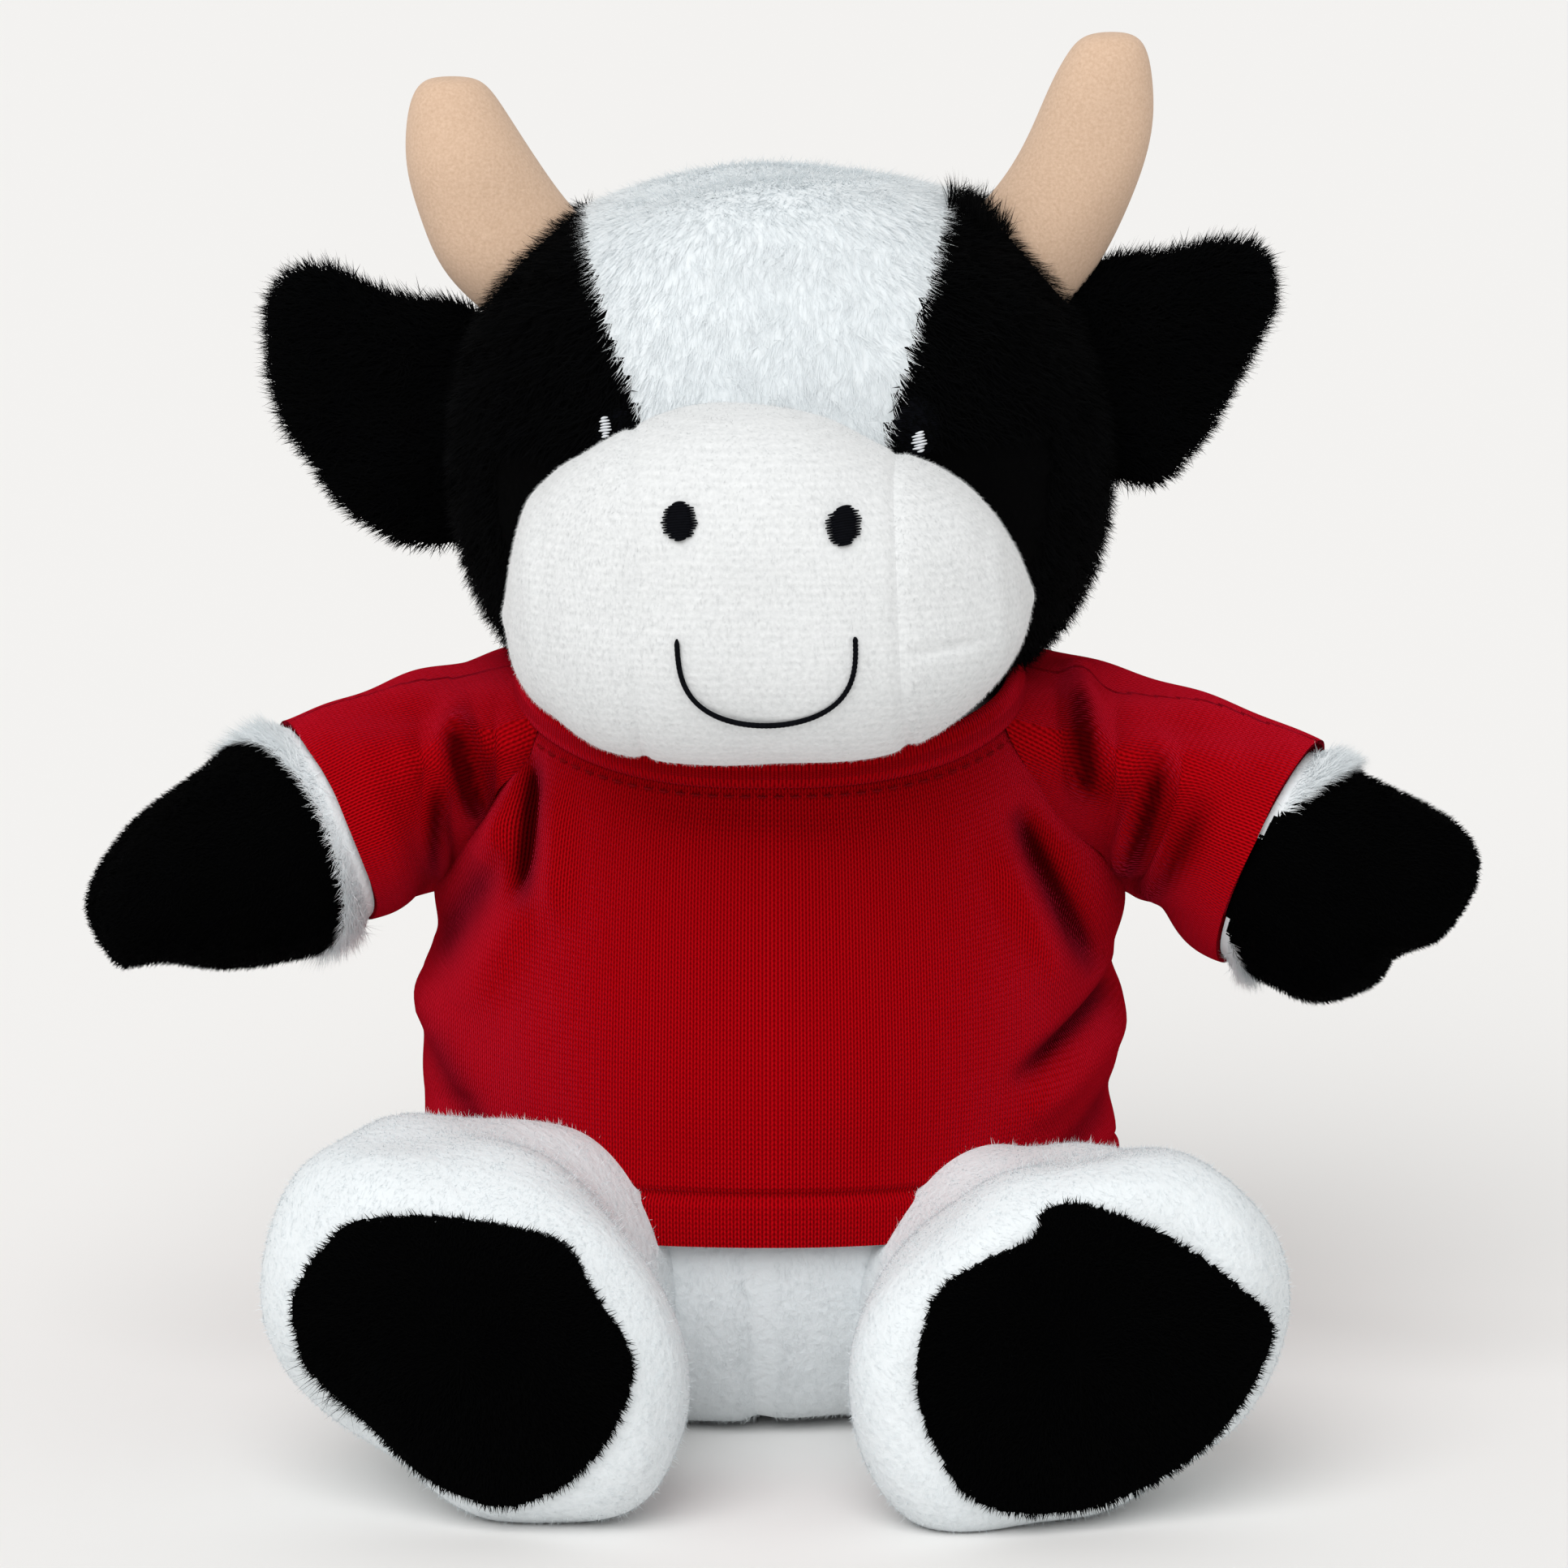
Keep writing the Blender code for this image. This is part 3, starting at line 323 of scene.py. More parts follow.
def new_piece(name, points, faces, body, finish, replaced=(), normals=None, values=None, uv=None):
    """A mesh object from arrays. faces is a list of index arrays, each with faces of one size.
    normals has one for each point or for each corner of the faces. finish is a material and its slot; the
    slot is not used."""
    mesh = bpy.data.meshes.new(name)
    loops = np.concatenate([f.ravel() for f in faces])
    sizes = np.concatenate([np.full(len(f), f.shape[1]) for f in faces])
    mesh.vertices.add(len(points))
    mesh.vertices.foreach_set("co", np.ascontiguousarray(points, np.float32).ravel())
    mesh.loops.add(len(loops))
    mesh.loops.foreach_set("vertex_index", loops.astype(np.int32))
    mesh.polygons.add(len(sizes))
    mesh.polygons.foreach_set("loop_start", (np.cumsum(sizes) - sizes).astype(np.int32))
    mesh.update(calc_edges=True)
    mesh.shade_smooth()
    for key, value in (values or {}).items():
        mesh.attributes.new(key, "FLOAT", "POINT").data.foreach_set("value", value.astype(np.float32))
    if uv is not None:
        layer = mesh.uv_layers.new(name="UVMap")
        layer.data.foreach_set("uv", uv[loops].astype(np.float32).ravel())
    if normals is not None:
        corners = normals[loops] if len(normals) == len(points) else normals
        mesh.normals_split_custom_set(unit(corners).tolist())
    obj = bpy.data.objects.new(name, mesh)
    bpy.context.scene.collection.objects.link(obj)
    material, slot = finish
    mesh.materials.append(material)
    if isinstance(body, str):
        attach(obj, body)
    else:
        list(body)
        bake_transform(obj)
    if replaced:
        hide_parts(*replaced)
    return obj


def quads_between(index, after):
    """Quads from each row of a grid to the next, where after holds the next place round."""
    return np.stack([index[:-1], after[:-1], after[1:], index[1:]], -1).reshape(-1, 4)


def grid_of(surface, around, along):
    """Points, faces and (u, v) of a closed grid, with one point at each pole."""
    around = max(12, int(around * math.sqrt(CELL_DETAIL)))
    along = max(8, int(along * math.sqrt(CELL_DETAIL)))
    u, v = np.meshgrid(np.arange(around) / around, np.linspace(0, 1, along + 1)[1:-1])
    ends = [surface(np.zeros(1), np.full(1, float(end))) for end in (0, 1)]
    points = np.concatenate([ends[0], surface(u, v).reshape(-1, 3), ends[1]])
    places = np.concatenate([[(0, 0)], np.stack([u, v], -1).reshape(-1, 2), [(0, 1)]])
    index = 1 + np.arange(u.size).reshape(u.shape)
    after = np.roll(index, -1, axis=1)
    first = np.stack([np.zeros(around, int), after[0], index[0]], -1)
    last = np.stack([index[-1], after[-1], np.full(around, len(points) - 1)], -1)
    return points, [quads_between(index, after), np.concatenate([first, last])], places


def scattered(surface, count, keep, rng, cells=(160, 128)):
    """Random (u, v) spread evenly over the kept part of a surface, from the areas of a coarse grid.
    keep(places) is true where a place is in that part."""
    u, v = np.meshgrid(np.linspace(0, 1, cells[0] + 1), np.linspace(0, 1, cells[1] + 1))
    places = surface(u, v)
    a, b = places[1:, 1:] - places[:-1, :-1], places[1:, :-1] - places[:-1, 1:]
    area = np.linalg.norm(np.cross(a, b), axis=-1) / 2
    corners = keep(places)
    near = np.max([corners[1:, 1:], corners[:-1, :-1], corners[1:, :-1], corners[:-1, 1:]], axis=0)
    weight = (area * near).ravel()
    drawn_cells = rng.choice(weight.size, count, p=weight / weight.sum())
    row, column = np.divmod(drawn_cells, cells[0])
    return (column + rng.random(count)) / cells[0], (row + rng.random(count)) / cells[1]


def strands(surface, count, length, width, lean, comb, keep, seed, ruffle=0.35, stray=0.45):
    """Strands of pile: slim spikes, flat below and ridged above, rooted evenly over the kept part
    of a surface. Each leans from the normal toward comb(place) by the lean, give or take a little."""
    rng = np.random.default_rng(SEED + seed)
    u, v = scattered(surface, int(count * PILE_DETAIL), keep, rng)
    place, normal, _ = frame_of(surface, u, v)
    # A mask of true or false passes or fails every draw, so the draw only keeps the random order
    kept = keep(place) > rng.random(len(u)) * 0.999
    place, normal = place[kept], normal[kept]
    count = len(place)
    wish = comb(place) + ruffle * np.stack([waver(place, 9 * MM, seed + k) for k in range(3)], -1)
    wish = wish + stray * rng.normal(size=(count, 3))
    wish = unit(wish - (wish * normal).sum(-1, keepdims=True) * normal)
    tilt = np.clip(lean + rng.normal(0, 0.14, count), 0.1, 1.4)[:, None]
    heading = unit(np.cos(tilt) * normal + np.sin(tilt) * wish)
    reach = length * rng.uniform(0.65, 1.15, count)[:, None]
    ridge = unit(normal - (normal * heading).sum(-1, keepdims=True) * heading)
    side = np.cross(heading, ridge)
    root = place - 0.12 * reach * heading - 0.1 * MM * normal
    girth = 0.5 * width * rng.uniform(0.8, 1.2, count)[:, None, None]
    corners = root[:, None] + girth * np.stack([side, -side, 0.5 * ridge], axis=1)
    points = np.concatenate([corners, (place + reach * heading)[:, None]], axis=1)
    index = 4 * np.arange(count)[:, None]
    faces = np.concatenate([index + (a, b, 3) for a, b in ((0, 1), (1, 2), (2, 0))])
    rounded = np.stack([side, -side, ridge, ridge], axis=1)
    soft = np.sin(tilt)[..., None] * normal[:, None] + (0.1 + np.cos(tilt))[..., None] * rounded
    below = np.repeat((0.3 * heading - ridge)[:, None], 3, axis=1)
    soft = np.concatenate([below, soft[:, (1, 2, 3)], soft[:, (2, 0, 3)]])
    shade = np.repeat(rng.random(count), 4)
    tips = np.tile((0.0, 0.0, 0.0, 1.0), count)
    return points.reshape(-1, 3), faces, soft.reshape(-1, 3), shade, tips


def padded_piece(name, surface, grid, body, finish, replaced):
    """A whole closed surface as one padded form."""
    points, faces, places = grid_of(surface, *grid)
    new_piece(f"{name}_form", points, faces, body, finish, replaced, uv=places)


# Finishes


def finish_nodes(name, roughness, sheen=0.0, sheen_tint=(1, 1, 1), specular=0.2):
    material = bpy.data.materials.new(name)
    material.use_nodes = True
    tree = material.node_tree
    shader = tree.nodes["Principled BSDF"]
    shader.inputs["Roughness"].default_value = roughness
    shader.inputs["Specular IOR Level"].default_value = specular
    shader.inputs["Sheen Weight"].default_value = sheen
    shader.inputs["Sheen Roughness"].default_value = 0.6
    shader.inputs["Sheen Tint"].default_value = (*sheen_tint, 1.0)
    return material, tree, shader


def link(tree, source, target):
    tree.links.new(source, target)


def add_node(tree, kind, **settings):
    node = tree.nodes.new(kind)
    for key, value in settings.items():
        if key in node.inputs:
            node.inputs[key].default_value = value
        else:
            setattr(node, key, value)
    return node


def maths(tree, operation, *inputs):
    node = tree.nodes.new("ShaderNodeMath")
    node.operation = operation
    for socket, value in zip(node.inputs, inputs):
        if isinstance(value, (int, float)):
            socket.default_value = value
        else:
            tree.links.new(value, socket)
    return node.outputs[0]


def mixed(tree, share, first, second, blend="MIX"):
    node = tree.nodes.new("ShaderNodeMix")
    node.data_type = "RGBA"
    node.blend_type = blend
    ends = {0: share, 6: first, 7: second}
    for socket, value in ends.items():
        if isinstance(value, (int, float)):
            node.inputs[socket].default_value = value
        elif isinstance(value, tuple):
            node.inputs[socket].default_value = (*value, 1.0)
        else:
            tree.links.new(value, node.inputs[socket])
    return node.outputs[2]


def new_group(name, inputs, outputs):
    group = bpy.data.node_groups.new(name, "ShaderNodeTree")
    for key, default in inputs.items():
        socket = group.interface.new_socket(name=key, in_out="INPUT", socket_type="NodeSocketFloat")
        socket.default_value = default
    for key in outputs:
        group.interface.new_socket(name=key, in_out="OUTPUT", socket_type="NodeSocketFloat")
    return group, group.nodes.new("NodeGroupInput"), group.nodes.new("NodeGroupOutput")


def mottle_group():
    """Uneven cloth: broad soft patches plus fine grain, about 1 on average."""
    group, given, result = new_group(
        "uneven_cloth", {"Patch": 60.0, "Grain": 900.0, "Amount": 0.1}, ("Value", "Height")
    )
    place = add_node(group, "ShaderNodeTexCoord")
    broad = add_node(group, "ShaderNodeTexNoise", Detail=3.0)
    fine = add_node(group, "ShaderNodeTexNoise", Detail=4.0)
    for noise, key in ((broad, "Patch"), (fine, "Grain")):
        link(group, place.outputs["Object"], noise.inputs["Vector"])
        link(group, given.outputs[key], noise.inputs["Scale"])
    both = maths(group, "ADD", broad.outputs[0], fine.outputs[0])
    centred = maths(group, "SUBTRACT", both, 1.0)
    swing = maths(group, "MULTIPLY", centred, given.outputs["Amount"])
    link(group, maths(group, "ADD", swing, 1.0), result.inputs["Value"])
    link(group, fine.outputs[0], result.inputs["Height"])
    return group


def knit_group():
    """Jersey: columns of V stitches. Height rises over each leg of a V, which slants across its wale."""
    group, given, result = new_group("jersey_knit", {"Wales": 300.0, "Courses": 100.0}, ("Height",))
    place = add_node(group, "ShaderNodeUVMap", uv_map="UVMap")
    parts = add_node(group, "ShaderNodeSeparateXYZ")
    link(group, place.outputs[0], parts.inputs[0])
    across = maths(group, "MULTIPLY", parts.outputs[0], given.outputs["Wales"])
    within = maths(group, "FRACT", across)
    off = maths(group, "ABSOLUTE", maths(group, "SUBTRACT", within, 0.5))
    slant = maths(group, "MULTIPLY", off, 1.1)
    up = maths(group, "MULTIPLY", parts.outputs[1], given.outputs["Courses"])
    turned = maths(group, "MULTIPLY", maths(group, "ADD", up, slant), math.tau)
    ripple = maths(group, "MULTIPLY", maths(group, "SINE", turned), 0.22)
    leg = maths(group, "SINE", maths(group, "MULTIPLY", within, math.tau))
    leg = maths(group, "ABSOLUTE", leg)
    link(group, maths(group, "ADD", leg, ripple), result.inputs["Height"])
    return group


MOTTLE = mottle_group()
KNIT = knit_group()


def group_node(tree, group, **inputs):
    node = tree.nodes.new("ShaderNodeGroup")
    node.node_tree = group
    for key, value in inputs.items():
        node.inputs[key].default_value = value
    return node


def bumped(tree, shader, height, distance, strength=1.0):
    bump = tree.nodes.new("ShaderNodeBump")
    bump.inputs["Distance"].default_value = distance
    bump.inputs["Strength"].default_value = strength
    link(tree, height, bump.inputs["Height"])
    link(tree, bump.outputs[0], shader.inputs["Normal"])


def pile_finish(name, slot, root, tip, amount, sheen, spread=0.12):
    """Pile: darker at the roots and on the backing, a painted shade between the strands, lighter at their
    tips, and each strand a little its own tone.
    """
    material, tree, shader = finish_nodes(name, 0.95, sheen, specular=0.02)
    tips = add_node(tree, "ShaderNodeAttribute", attribute_name="tip")
    shade = add_node(tree, "ShaderNodeAttribute", attribute_name="shade")
    uneven = group_node(tree, MOTTLE, Patch=70.0, Grain=700.0, Amount=amount)
    # Painted shade: the root colour lies at the roots and on the backing between the strands
    colour = mixed(tree, tips.outputs["Fac"], root, tip)
    own = maths(tree, "ADD", maths(tree, "MULTIPLY", shade.outputs["Fac"], spread), 1 - spread / 2)
    level = maths(tree, "MULTIPLY", own, uneven.outputs["Value"])
    grey = add_node(tree, "ShaderNodeCombineColor")
    for socket in grey.inputs[:3]:
        link(tree, level, socket)
    link(tree, mixed(tree, 1.0, colour, grey.outputs[0], "MULTIPLY"), shader.inputs["Base Color"])
    bumped(tree, shader, uneven.outputs["Height"], 0.0003)
    return material, slot


RED_DEEP, RED_LIGHT, RED_SHEEN = (0.21, 0.0006, 0.002), (0.47, 0.002, 0.006), (1, 0.03, 0.09)
# Painted shade: the dark red that the jersey is drawn toward in its creases
RED_FOLD_PAINTED_SHADE = (0.03, 0.0001, 0.0006)


def knit_finish(name, wales, courses):
    """Jersey: darker in the grooves between the wales, and with painted shade where the cloth is folded in.
    """
    material, tree, shader = finish_nodes(name, 0.9, 0.5, RED_SHEEN, 0.0)
    shader.inputs["Sheen Roughness"].default_value = 0.24
    knit = group_node(tree, KNIT, Wales=wales, Courses=courses)
    uneven = group_node(tree, MOTTLE, Patch=45.0, Grain=1200.0, Amount=0.8)
    height = maths(tree, "MULTIPLY", knit.outputs["Height"], uneven.outputs["Value"])
    # Painted shade: the fold attribute darkens the jersey toward the dark red in its creases
    fold = add_node(tree, "ShaderNodeAttribute", attribute_name="fold")
    colour = mixed(tree, height, RED_DEEP, RED_LIGHT)
    link(tree, mixed(tree, fold.outputs["Fac"], colour, RED_FOLD_PAINTED_SHADE), shader.inputs["Base Color"])
    bumped(tree, shader, height, 0.00022)
    return material, "red_jersey"


def nap_finish(name, slot, low, high, grain, distance, sheen=0.3, amount=0.2, ribs=0.0):
    """Short nap: fine grain, and where ribs is set faint knit lines across it."""
    material, tree, shader = finish_nodes(name, 0.9, sheen, (1, 1, 1), 0.06)
    uneven = group_node(tree, MOTTLE, Patch=90.0, Grain=grain, Amount=amount)
    height = uneven.outputs["Height"]
    if ribs:
        place = add_node(tree, "ShaderNodeTexCoord")
        lines = add_node(tree, "ShaderNodeTexWave", Scale=ribs, Distortion=2.5, Detail=2.0)
        lines.bands_direction = "Z"
        link(tree, place.outputs["Object"], lines.inputs["Vector"])
        height = maths(tree, "ADD", height, maths(tree, "MULTIPLY", lines.outputs["Fac"], 0.12))
    link(tree, mixed(tree, height, low, high), shader.inputs["Base Color"])
    bumped(tree, shader, height, distance)
    return material, slot


# The first colour of each pile is painted shade, at the roots and on the backing between the strands
WHITE_PILE = pile_finish(
    "white_pile", "white_pile", (0.765, 0.805, 0.825), (0.835, 0.875, 0.895), 0.06, 0.1, 0.08
)
# BLACK_DEEP is the painted shade at the roots of the black piles
BLACK_DEEP = (0.0004, 0.0004, 0.0005)
BLACK_PILE = pile_finish("black_pile", "black_pile", BLACK_DEEP, (0.0025, 0.0027, 0.003), 0.3, 0.005)
BLACK_SHORT = pile_finish(
    "black_short_pile", "black_pile", BLACK_DEEP, (0.0016, 0.0017, 0.0018), 0.3, 0.0
)
RED_JERSEY = knit_finish("red_jersey", 340.0, 92.0)
RED_SLEEVE = knit_finish("red_jersey_sleeve", 116.0, 46.0)
RED_RIB = knit_finish("red_jersey_band", 300.0, 8.0)
WHITE_NAP, TAN_VELBOA, DARK_THREAD, PALE_THREAD, RED_THREAD, FIBRE_FILL = (
    nap_finish(*row)
    for row in (
        # name, slot, colour in the hollows and on the tips, grain, bump, sheen, unevenness, ribs
        ("white_nap", "white_nap", (0.58, 0.595, 0.60), (0.83, 0.845, 0.85), 1500.0, 1e-4, 0.3, 0.5, 260.0),
        ("tan_velboa", "tan_velboa", (0.51, 0.34, 0.225), (0.76, 0.555, 0.41), 2200.0, 8e-5, 0.12, 0.25),
        ("dark_thread", "dark_thread", (0.0008, 0.0008, 0.0014), (0.004, 0.0045, 0.007), 1800.0, 5e-5, 0.0),
        ("pale_thread", "pale_thread", (0.55, 0.57, 0.60), (0.88, 0.90, 0.93), 1800.0, 5e-5, 0.0),
        ("red_thread", "red_jersey", (0.10, 0.0005, 0.002), (0.30, 0.002, 0.006), 1800.0, 5e-5, 0.0),
        ("fibre_fill", "fibre_fill", (0.72, 0.72, 0.70), (0.90, 0.90, 0.88), 900.0, 2e-4),
    )
)


# Panels: a thin closed shell of fabric, and the strands of its pile


def facing_normals(points, faces):
    """Normals of the points, as sums over the faces that they are in."""
    normals = np.zeros_like(points)
    for f in faces:
        a, b, c = (points[f[:, k]] for k in (0, 1, 2))
        facing = np.cross(b - a, c - a)
        for k in range(f.shape[1]):
            np.add.at(normals, f[:, k], facing)
    return unit(normals)


def rim_edges(faces):
    """Directed edges that only one face uses."""
    pairs = np.concatenate([np.stack([f, np.roll(f, -1, 1)], -1).reshape(-1, 2) for f in faces])
    size = pairs.max() + 1
    keys, back = pairs[:, 0] * size + pairs[:, 1], pairs[:, 1] * size + pairs[:, 0]
    return pairs[~np.isin(keys, back)]


def shelled(points, faces, depth, normals=None):
    """A closed shell: the faces, the same faces turned round at the depth, and the rims between."""
    if normals is None:
        normals = facing_normals(points, faces)
    count = len(points)
    edges = rim_edges(faces)
    inner = [f[:, ::-1] + count for f in faces]
    parts = faces + inner
    if len(edges):
        parts.append(np.stack([edges[:, 1], edges[:, 0], edges[:, 0] + count, edges[:, 1] + count], -1))
    return np.concatenate([points, points - depth * normals]), parts, np.concatenate([normals, -normals])


def kept_grid(surface, grid, keep):
    """Points and faces of the part of a closed grid whose faces have their middles in the kept part."""
    points, faces, _ = grid_of(surface, *grid)
    kept = [f[keep(points[f].mean(axis=1))] for f in faces]
    used = np.unique(np.concatenate([f.ravel() for f in kept]))
    renumber = np.zeros(len(points), int)
    renumber[used] = np.arange(len(used))
    return points[used], [renumber[f] for f in kept if len(f)]


def pile_panel(name, skin, coats, body, finish, depth=PILE_BACKING):
    """One piece: a shell of the skin (points, faces), with sets of strands standing on it."""
    points, faces, normals = shelled(*skin, depth)
    normals = normals[np.concatenate([f.ravel() for f in faces])]
    # The backing's tip value of 0.1 gives it nearly the root colour: painted shade between the strands
    shades, tips = [np.full(len(points), 0.5)], [np.full(len(points), 0.1)]
    parts, sides, start = [points], [normals], len(points)
    for spikes, triangles, soft, shade, tip in coats:
        spikes[:, 2] = np.maximum(spikes[:, 2], 0.1 * MM)
        faces = faces + [triangles + start]
        parts.append(spikes)
        sides.append(soft)
        shades.append(shade)
        tips.append(tip)
        start += len(spikes)
    values = {"shade": np.concatenate(shades), "tip": np.concatenate(tips)}
    new_piece(
        f"{name}_cover", np.concatenate(parts), faces, body, finish, (name,),
        np.concatenate(sides), values,
    )


def stuffing(part, surface, grid, body, side=""):
    """The padded core under a cover, just inside it. side is "_left", "_right" or nothing."""
    inner = pushed(surface, lambda p: np.full(p.shape[:-1], -FILL_INSET))
    padded_piece(f"{part}_padding{side}", inner, grid, body, FIBRE_FILL, (f"{part}_stuffing{side}",))


def toward(*direction):
    """A comb that is the same at every place."""
    wish = np.array(direction, float)
    return lambda places: np.broadcast_to(wish, places.shape)


# Torso


FRONT_SEAM, SIDE_SEAM = -1 * MM, -10 * MM  # across, and toward the back
SHOWN_BELOW = 42 * MM  # the shirt hides the torso's pile above this height


def torso_skin():
    """The torso form: bell-shaped groove along its front centre seam, a step inward under the shirt,
    and a slow waver all over."""
    plain = soft_form(TORSO_ROWS, np.zeros(3), UPRIGHT, SQUARENESS)

    def seam(places):
        front = places[..., 1] < 0
        groove = bell(places[..., 0] - FRONT_SEAM, 1.3 * MM)
        pressed = -3.4 * MM * step_between(places[..., 2], 36 * MM, 46 * MM)
        return pressed - 1.6 * MM * groove * front + 0.5 * MM * waver(places, 30 * MM, 5)

    return grounded(pushed(plain, seam))


def make_torso():
    skin = torso_skin()
    panels = {
        "torso_front_left": lambda p: (p[..., 1] < SIDE_SEAM) & (p[..., 0] < FRONT_SEAM),
        "torso_front_right": lambda p: (p[..., 1] < SIDE_SEAM) & (p[..., 0] >= FRONT_SEAM),
        "torso_back": lambda p: p[..., 1] >= SIDE_SEAM,
    }
    for k, (name, inside) in enumerate(panels.items()):
        shown = lambda p: inside(p) & (p[..., 2] < SHOWN_BELOW)
        pile = BACK_COAT if name == "torso_back" else TORSO_COAT
        coat = strands(skin, *pile, toward(0, -0.3, -1), shown, 40 + k)
        panel = kept_grid(skin, (150, 110), inside)
        pile_panel(name, panel, [coat], "torso", WHITE_PILE)
    stuffing("torso", skin, (64, 48), "torso")


# T-shirt


LINE_SAMPLES = 400
STITCH_RADIUS = 0.22 * MM
NECK_STITCHES = 0.976  # share of the height where the collar's stitches lie
NECK_DASHES = (2.4 * MM, 1.5 * MM)  # from one stitch to the next, and the length of each
SLEEVE_DASHES = (3.3 * MM, 0.9 * MM)
SLEEVE_HEM_SEAM = 5.7 * MM
COLLAR_PLACE = (0.8 * MM, 2.2 * MM)  # outward and up from the neck seam
COLLAR_SIZE = (1.3 * MM, 2.7 * MM)  # half its thickness and half its height
SHIRT_CREASES = (
    # start and end (across, up), width, depth: grooves have a negative depth
    ((-36, 100), (-51, 77), 0.8, -1.0),
    ((37, 100), (52, 76), 0.8, -1.0),
    ((-34.5, 99), (-36.5, 80), 1.7, -3.3),
    ((-38.5, 92), (-43, 80), 1.8, 1.6),
    ((-31, 95), (-31, 78), 2.4, 1.4),
    ((-41, 84), (-50, 68), 2.6, -2.4),
    ((-34, 82), (-44, 62), 3.2, 1.6),
    ((-45, 48), (-51, 64), 4.0, 2.4),
    ((-51, 58), (-42, 42), 2.8, -1.8),
    ((36.5, 91), (47.5, 68), 1.8, -3.6),
    ((33, 86), (42, 66), 2.4, 1.5),
    ((44, 88), (52, 70), 2.6, 2.0),
    ((53, 58), (37, 47), 3.0, 2.0),
    ((53, 65), (37, 54), 1.8, -2.8),
    ((53, 48), (40, 37), 2.4, -1.6),
    ((-18, 95), (14, 93), 3.0, -1.0),
)


def shirt_form():
    """The torso's form, moved outward by the ease, the sum of the creases, a step out toward the hem,
    and a bell-shaped groove at the hem's fold."""
    plain = soft_form(TORSO_ROWS, np.zeros(3), UPRIGHT, SQUARENESS)

    def loose(places):
        front = step_between(-places[..., 1], -15 * MM, 8 * MM)
        rise = sum(crease(places, *line) for line in SHIRT_CREASES) * front
        behind = sum(crease(places * (-1, 1, 1), *line) for line in SHIRT_CREASES[2:8]) * (1 - front)
        z = places[..., 2]
        flare = 1.6 * MM * step_between(-z, -46 * MM, -30 * MM)
        hem = 0.35 * MM * step_between(-z, -38.6 * MM, -37.8 * MM)
        hem = hem - 1.1 * MM * bell(z - HEM_FOLD, 0.7 * MM)
        return SHIRT_EASE + rise + behind + flare + hem + 0.45 * MM * waver(places, 34 * MM, 7)

    return pushed(plain, loose)


def heights_of(rows):
    """Sizes of an upright form at even places along its spline, height first, and those places."""
    v = np.linspace(0, 1, 2001)
    return drawn_rows(rows, v), v


def neckline(u):
    """Height of the neck seam: low in front, higher by (1 - forward^2)^1.3 of the rise elsewhere."""
    forward = np.maximum(-np.sin(math.tau * u), 0)
    return NECKLINE_FRONT + NECKLINE_RISE * (1 - forward**2) ** 1.3


def shirt_skin():
    """The shirt from its hem (w = 0) to the neck seam (w = 1), round the body by u. The height goes
    evenly from one to the other, and its place on the form is read from the table of heights."""
    form = shirt_form()
    table, v = heights_of(TORSO_ROWS)

    def surface(u, w):
        z = HEM_HEIGHT + w * (neckline(u) - HEM_HEIGHT)
        return form(u, np.interp(z, table[:, 0], v))

    return surface


def painted_fold_shade(places, creases):
    """How much painted shade a place of the front gets in the creases, from 0 to 0.92: more the deeper it is
    in a groove.
    """
    depth = sum(crease(places, *line) for line in creases if line[3] < -1.5)
    front = step_between(-places[..., 1], -5 * MM, 12 * MM)
    return 0.92 * front * np.clip(-depth / (2.6 * MM), 0, 1)


def cloth(name, surface, reach, grid, body, finish, creases, chart=None, closed=False):
    """A cut of cloth with a thickness: a grid over its reach of u and all of w, closed round u where
    asked. The knit follows (u, w), or chart(place)."""
    around, along = (max(8, int(n * math.sqrt(CELL_DETAIL))) for n in grid)
    u, w = np.meshgrid(np.linspace(*reach, around, endpoint=not closed), np.linspace(0, 1, along))
    points = surface(u, w).reshape(-1, 3)
    index = np.arange(u.size).reshape(u.shape)
    after = np.roll(index, -1, axis=1)
    if not closed:
        index, after = index[:, :-1], after[:, :-1]
    shell, faces, normals = shelled(points, [quads_between(index, after)], JERSEY)
    uv = chart(points) if chart else np.stack([u, w], -1).reshape(-1, 2)
    # The fold attribute carries the painted shade of the creases
    return new_piece(
        f"{name}_cloth", shell, faces, body, finish, (name,), normals,
        {"fold": painted_fold_shade(shell, creases)}, np.concatenate([uv, uv]),
    )


def sweep_band(name, centre, across, up, thick, tall, finish, body, count):
    """A soft band with an oval section, swept round a closed line: the centre, plus the cosine
    of a turn times across and its sine times up, which are functions of u."""
    u, w = np.meshgrid(np.arange(count) / count, np.arange(12) / 12)
    angle = math.tau * w
    middle, out, rise = centre(u), across(u), up(u)
    points = middle + thick * np.cos(angle)[..., None] * out + tall * np.sin(angle)[..., None] * rise
    index = np.arange(u.size).reshape(u.shape)
    after, above = np.roll(index, -1, 1), np.roll(index, -1, 0)
    quads = np.stack([index, after, np.roll(after, -1, 0), above], -1).reshape(-1, 4)
    return new_piece(
        f"{name}_band", points.reshape(-1, 3), [quads], body, finish, (name,),
        uv=np.stack([u, w], -1).reshape(-1, 2),
    )


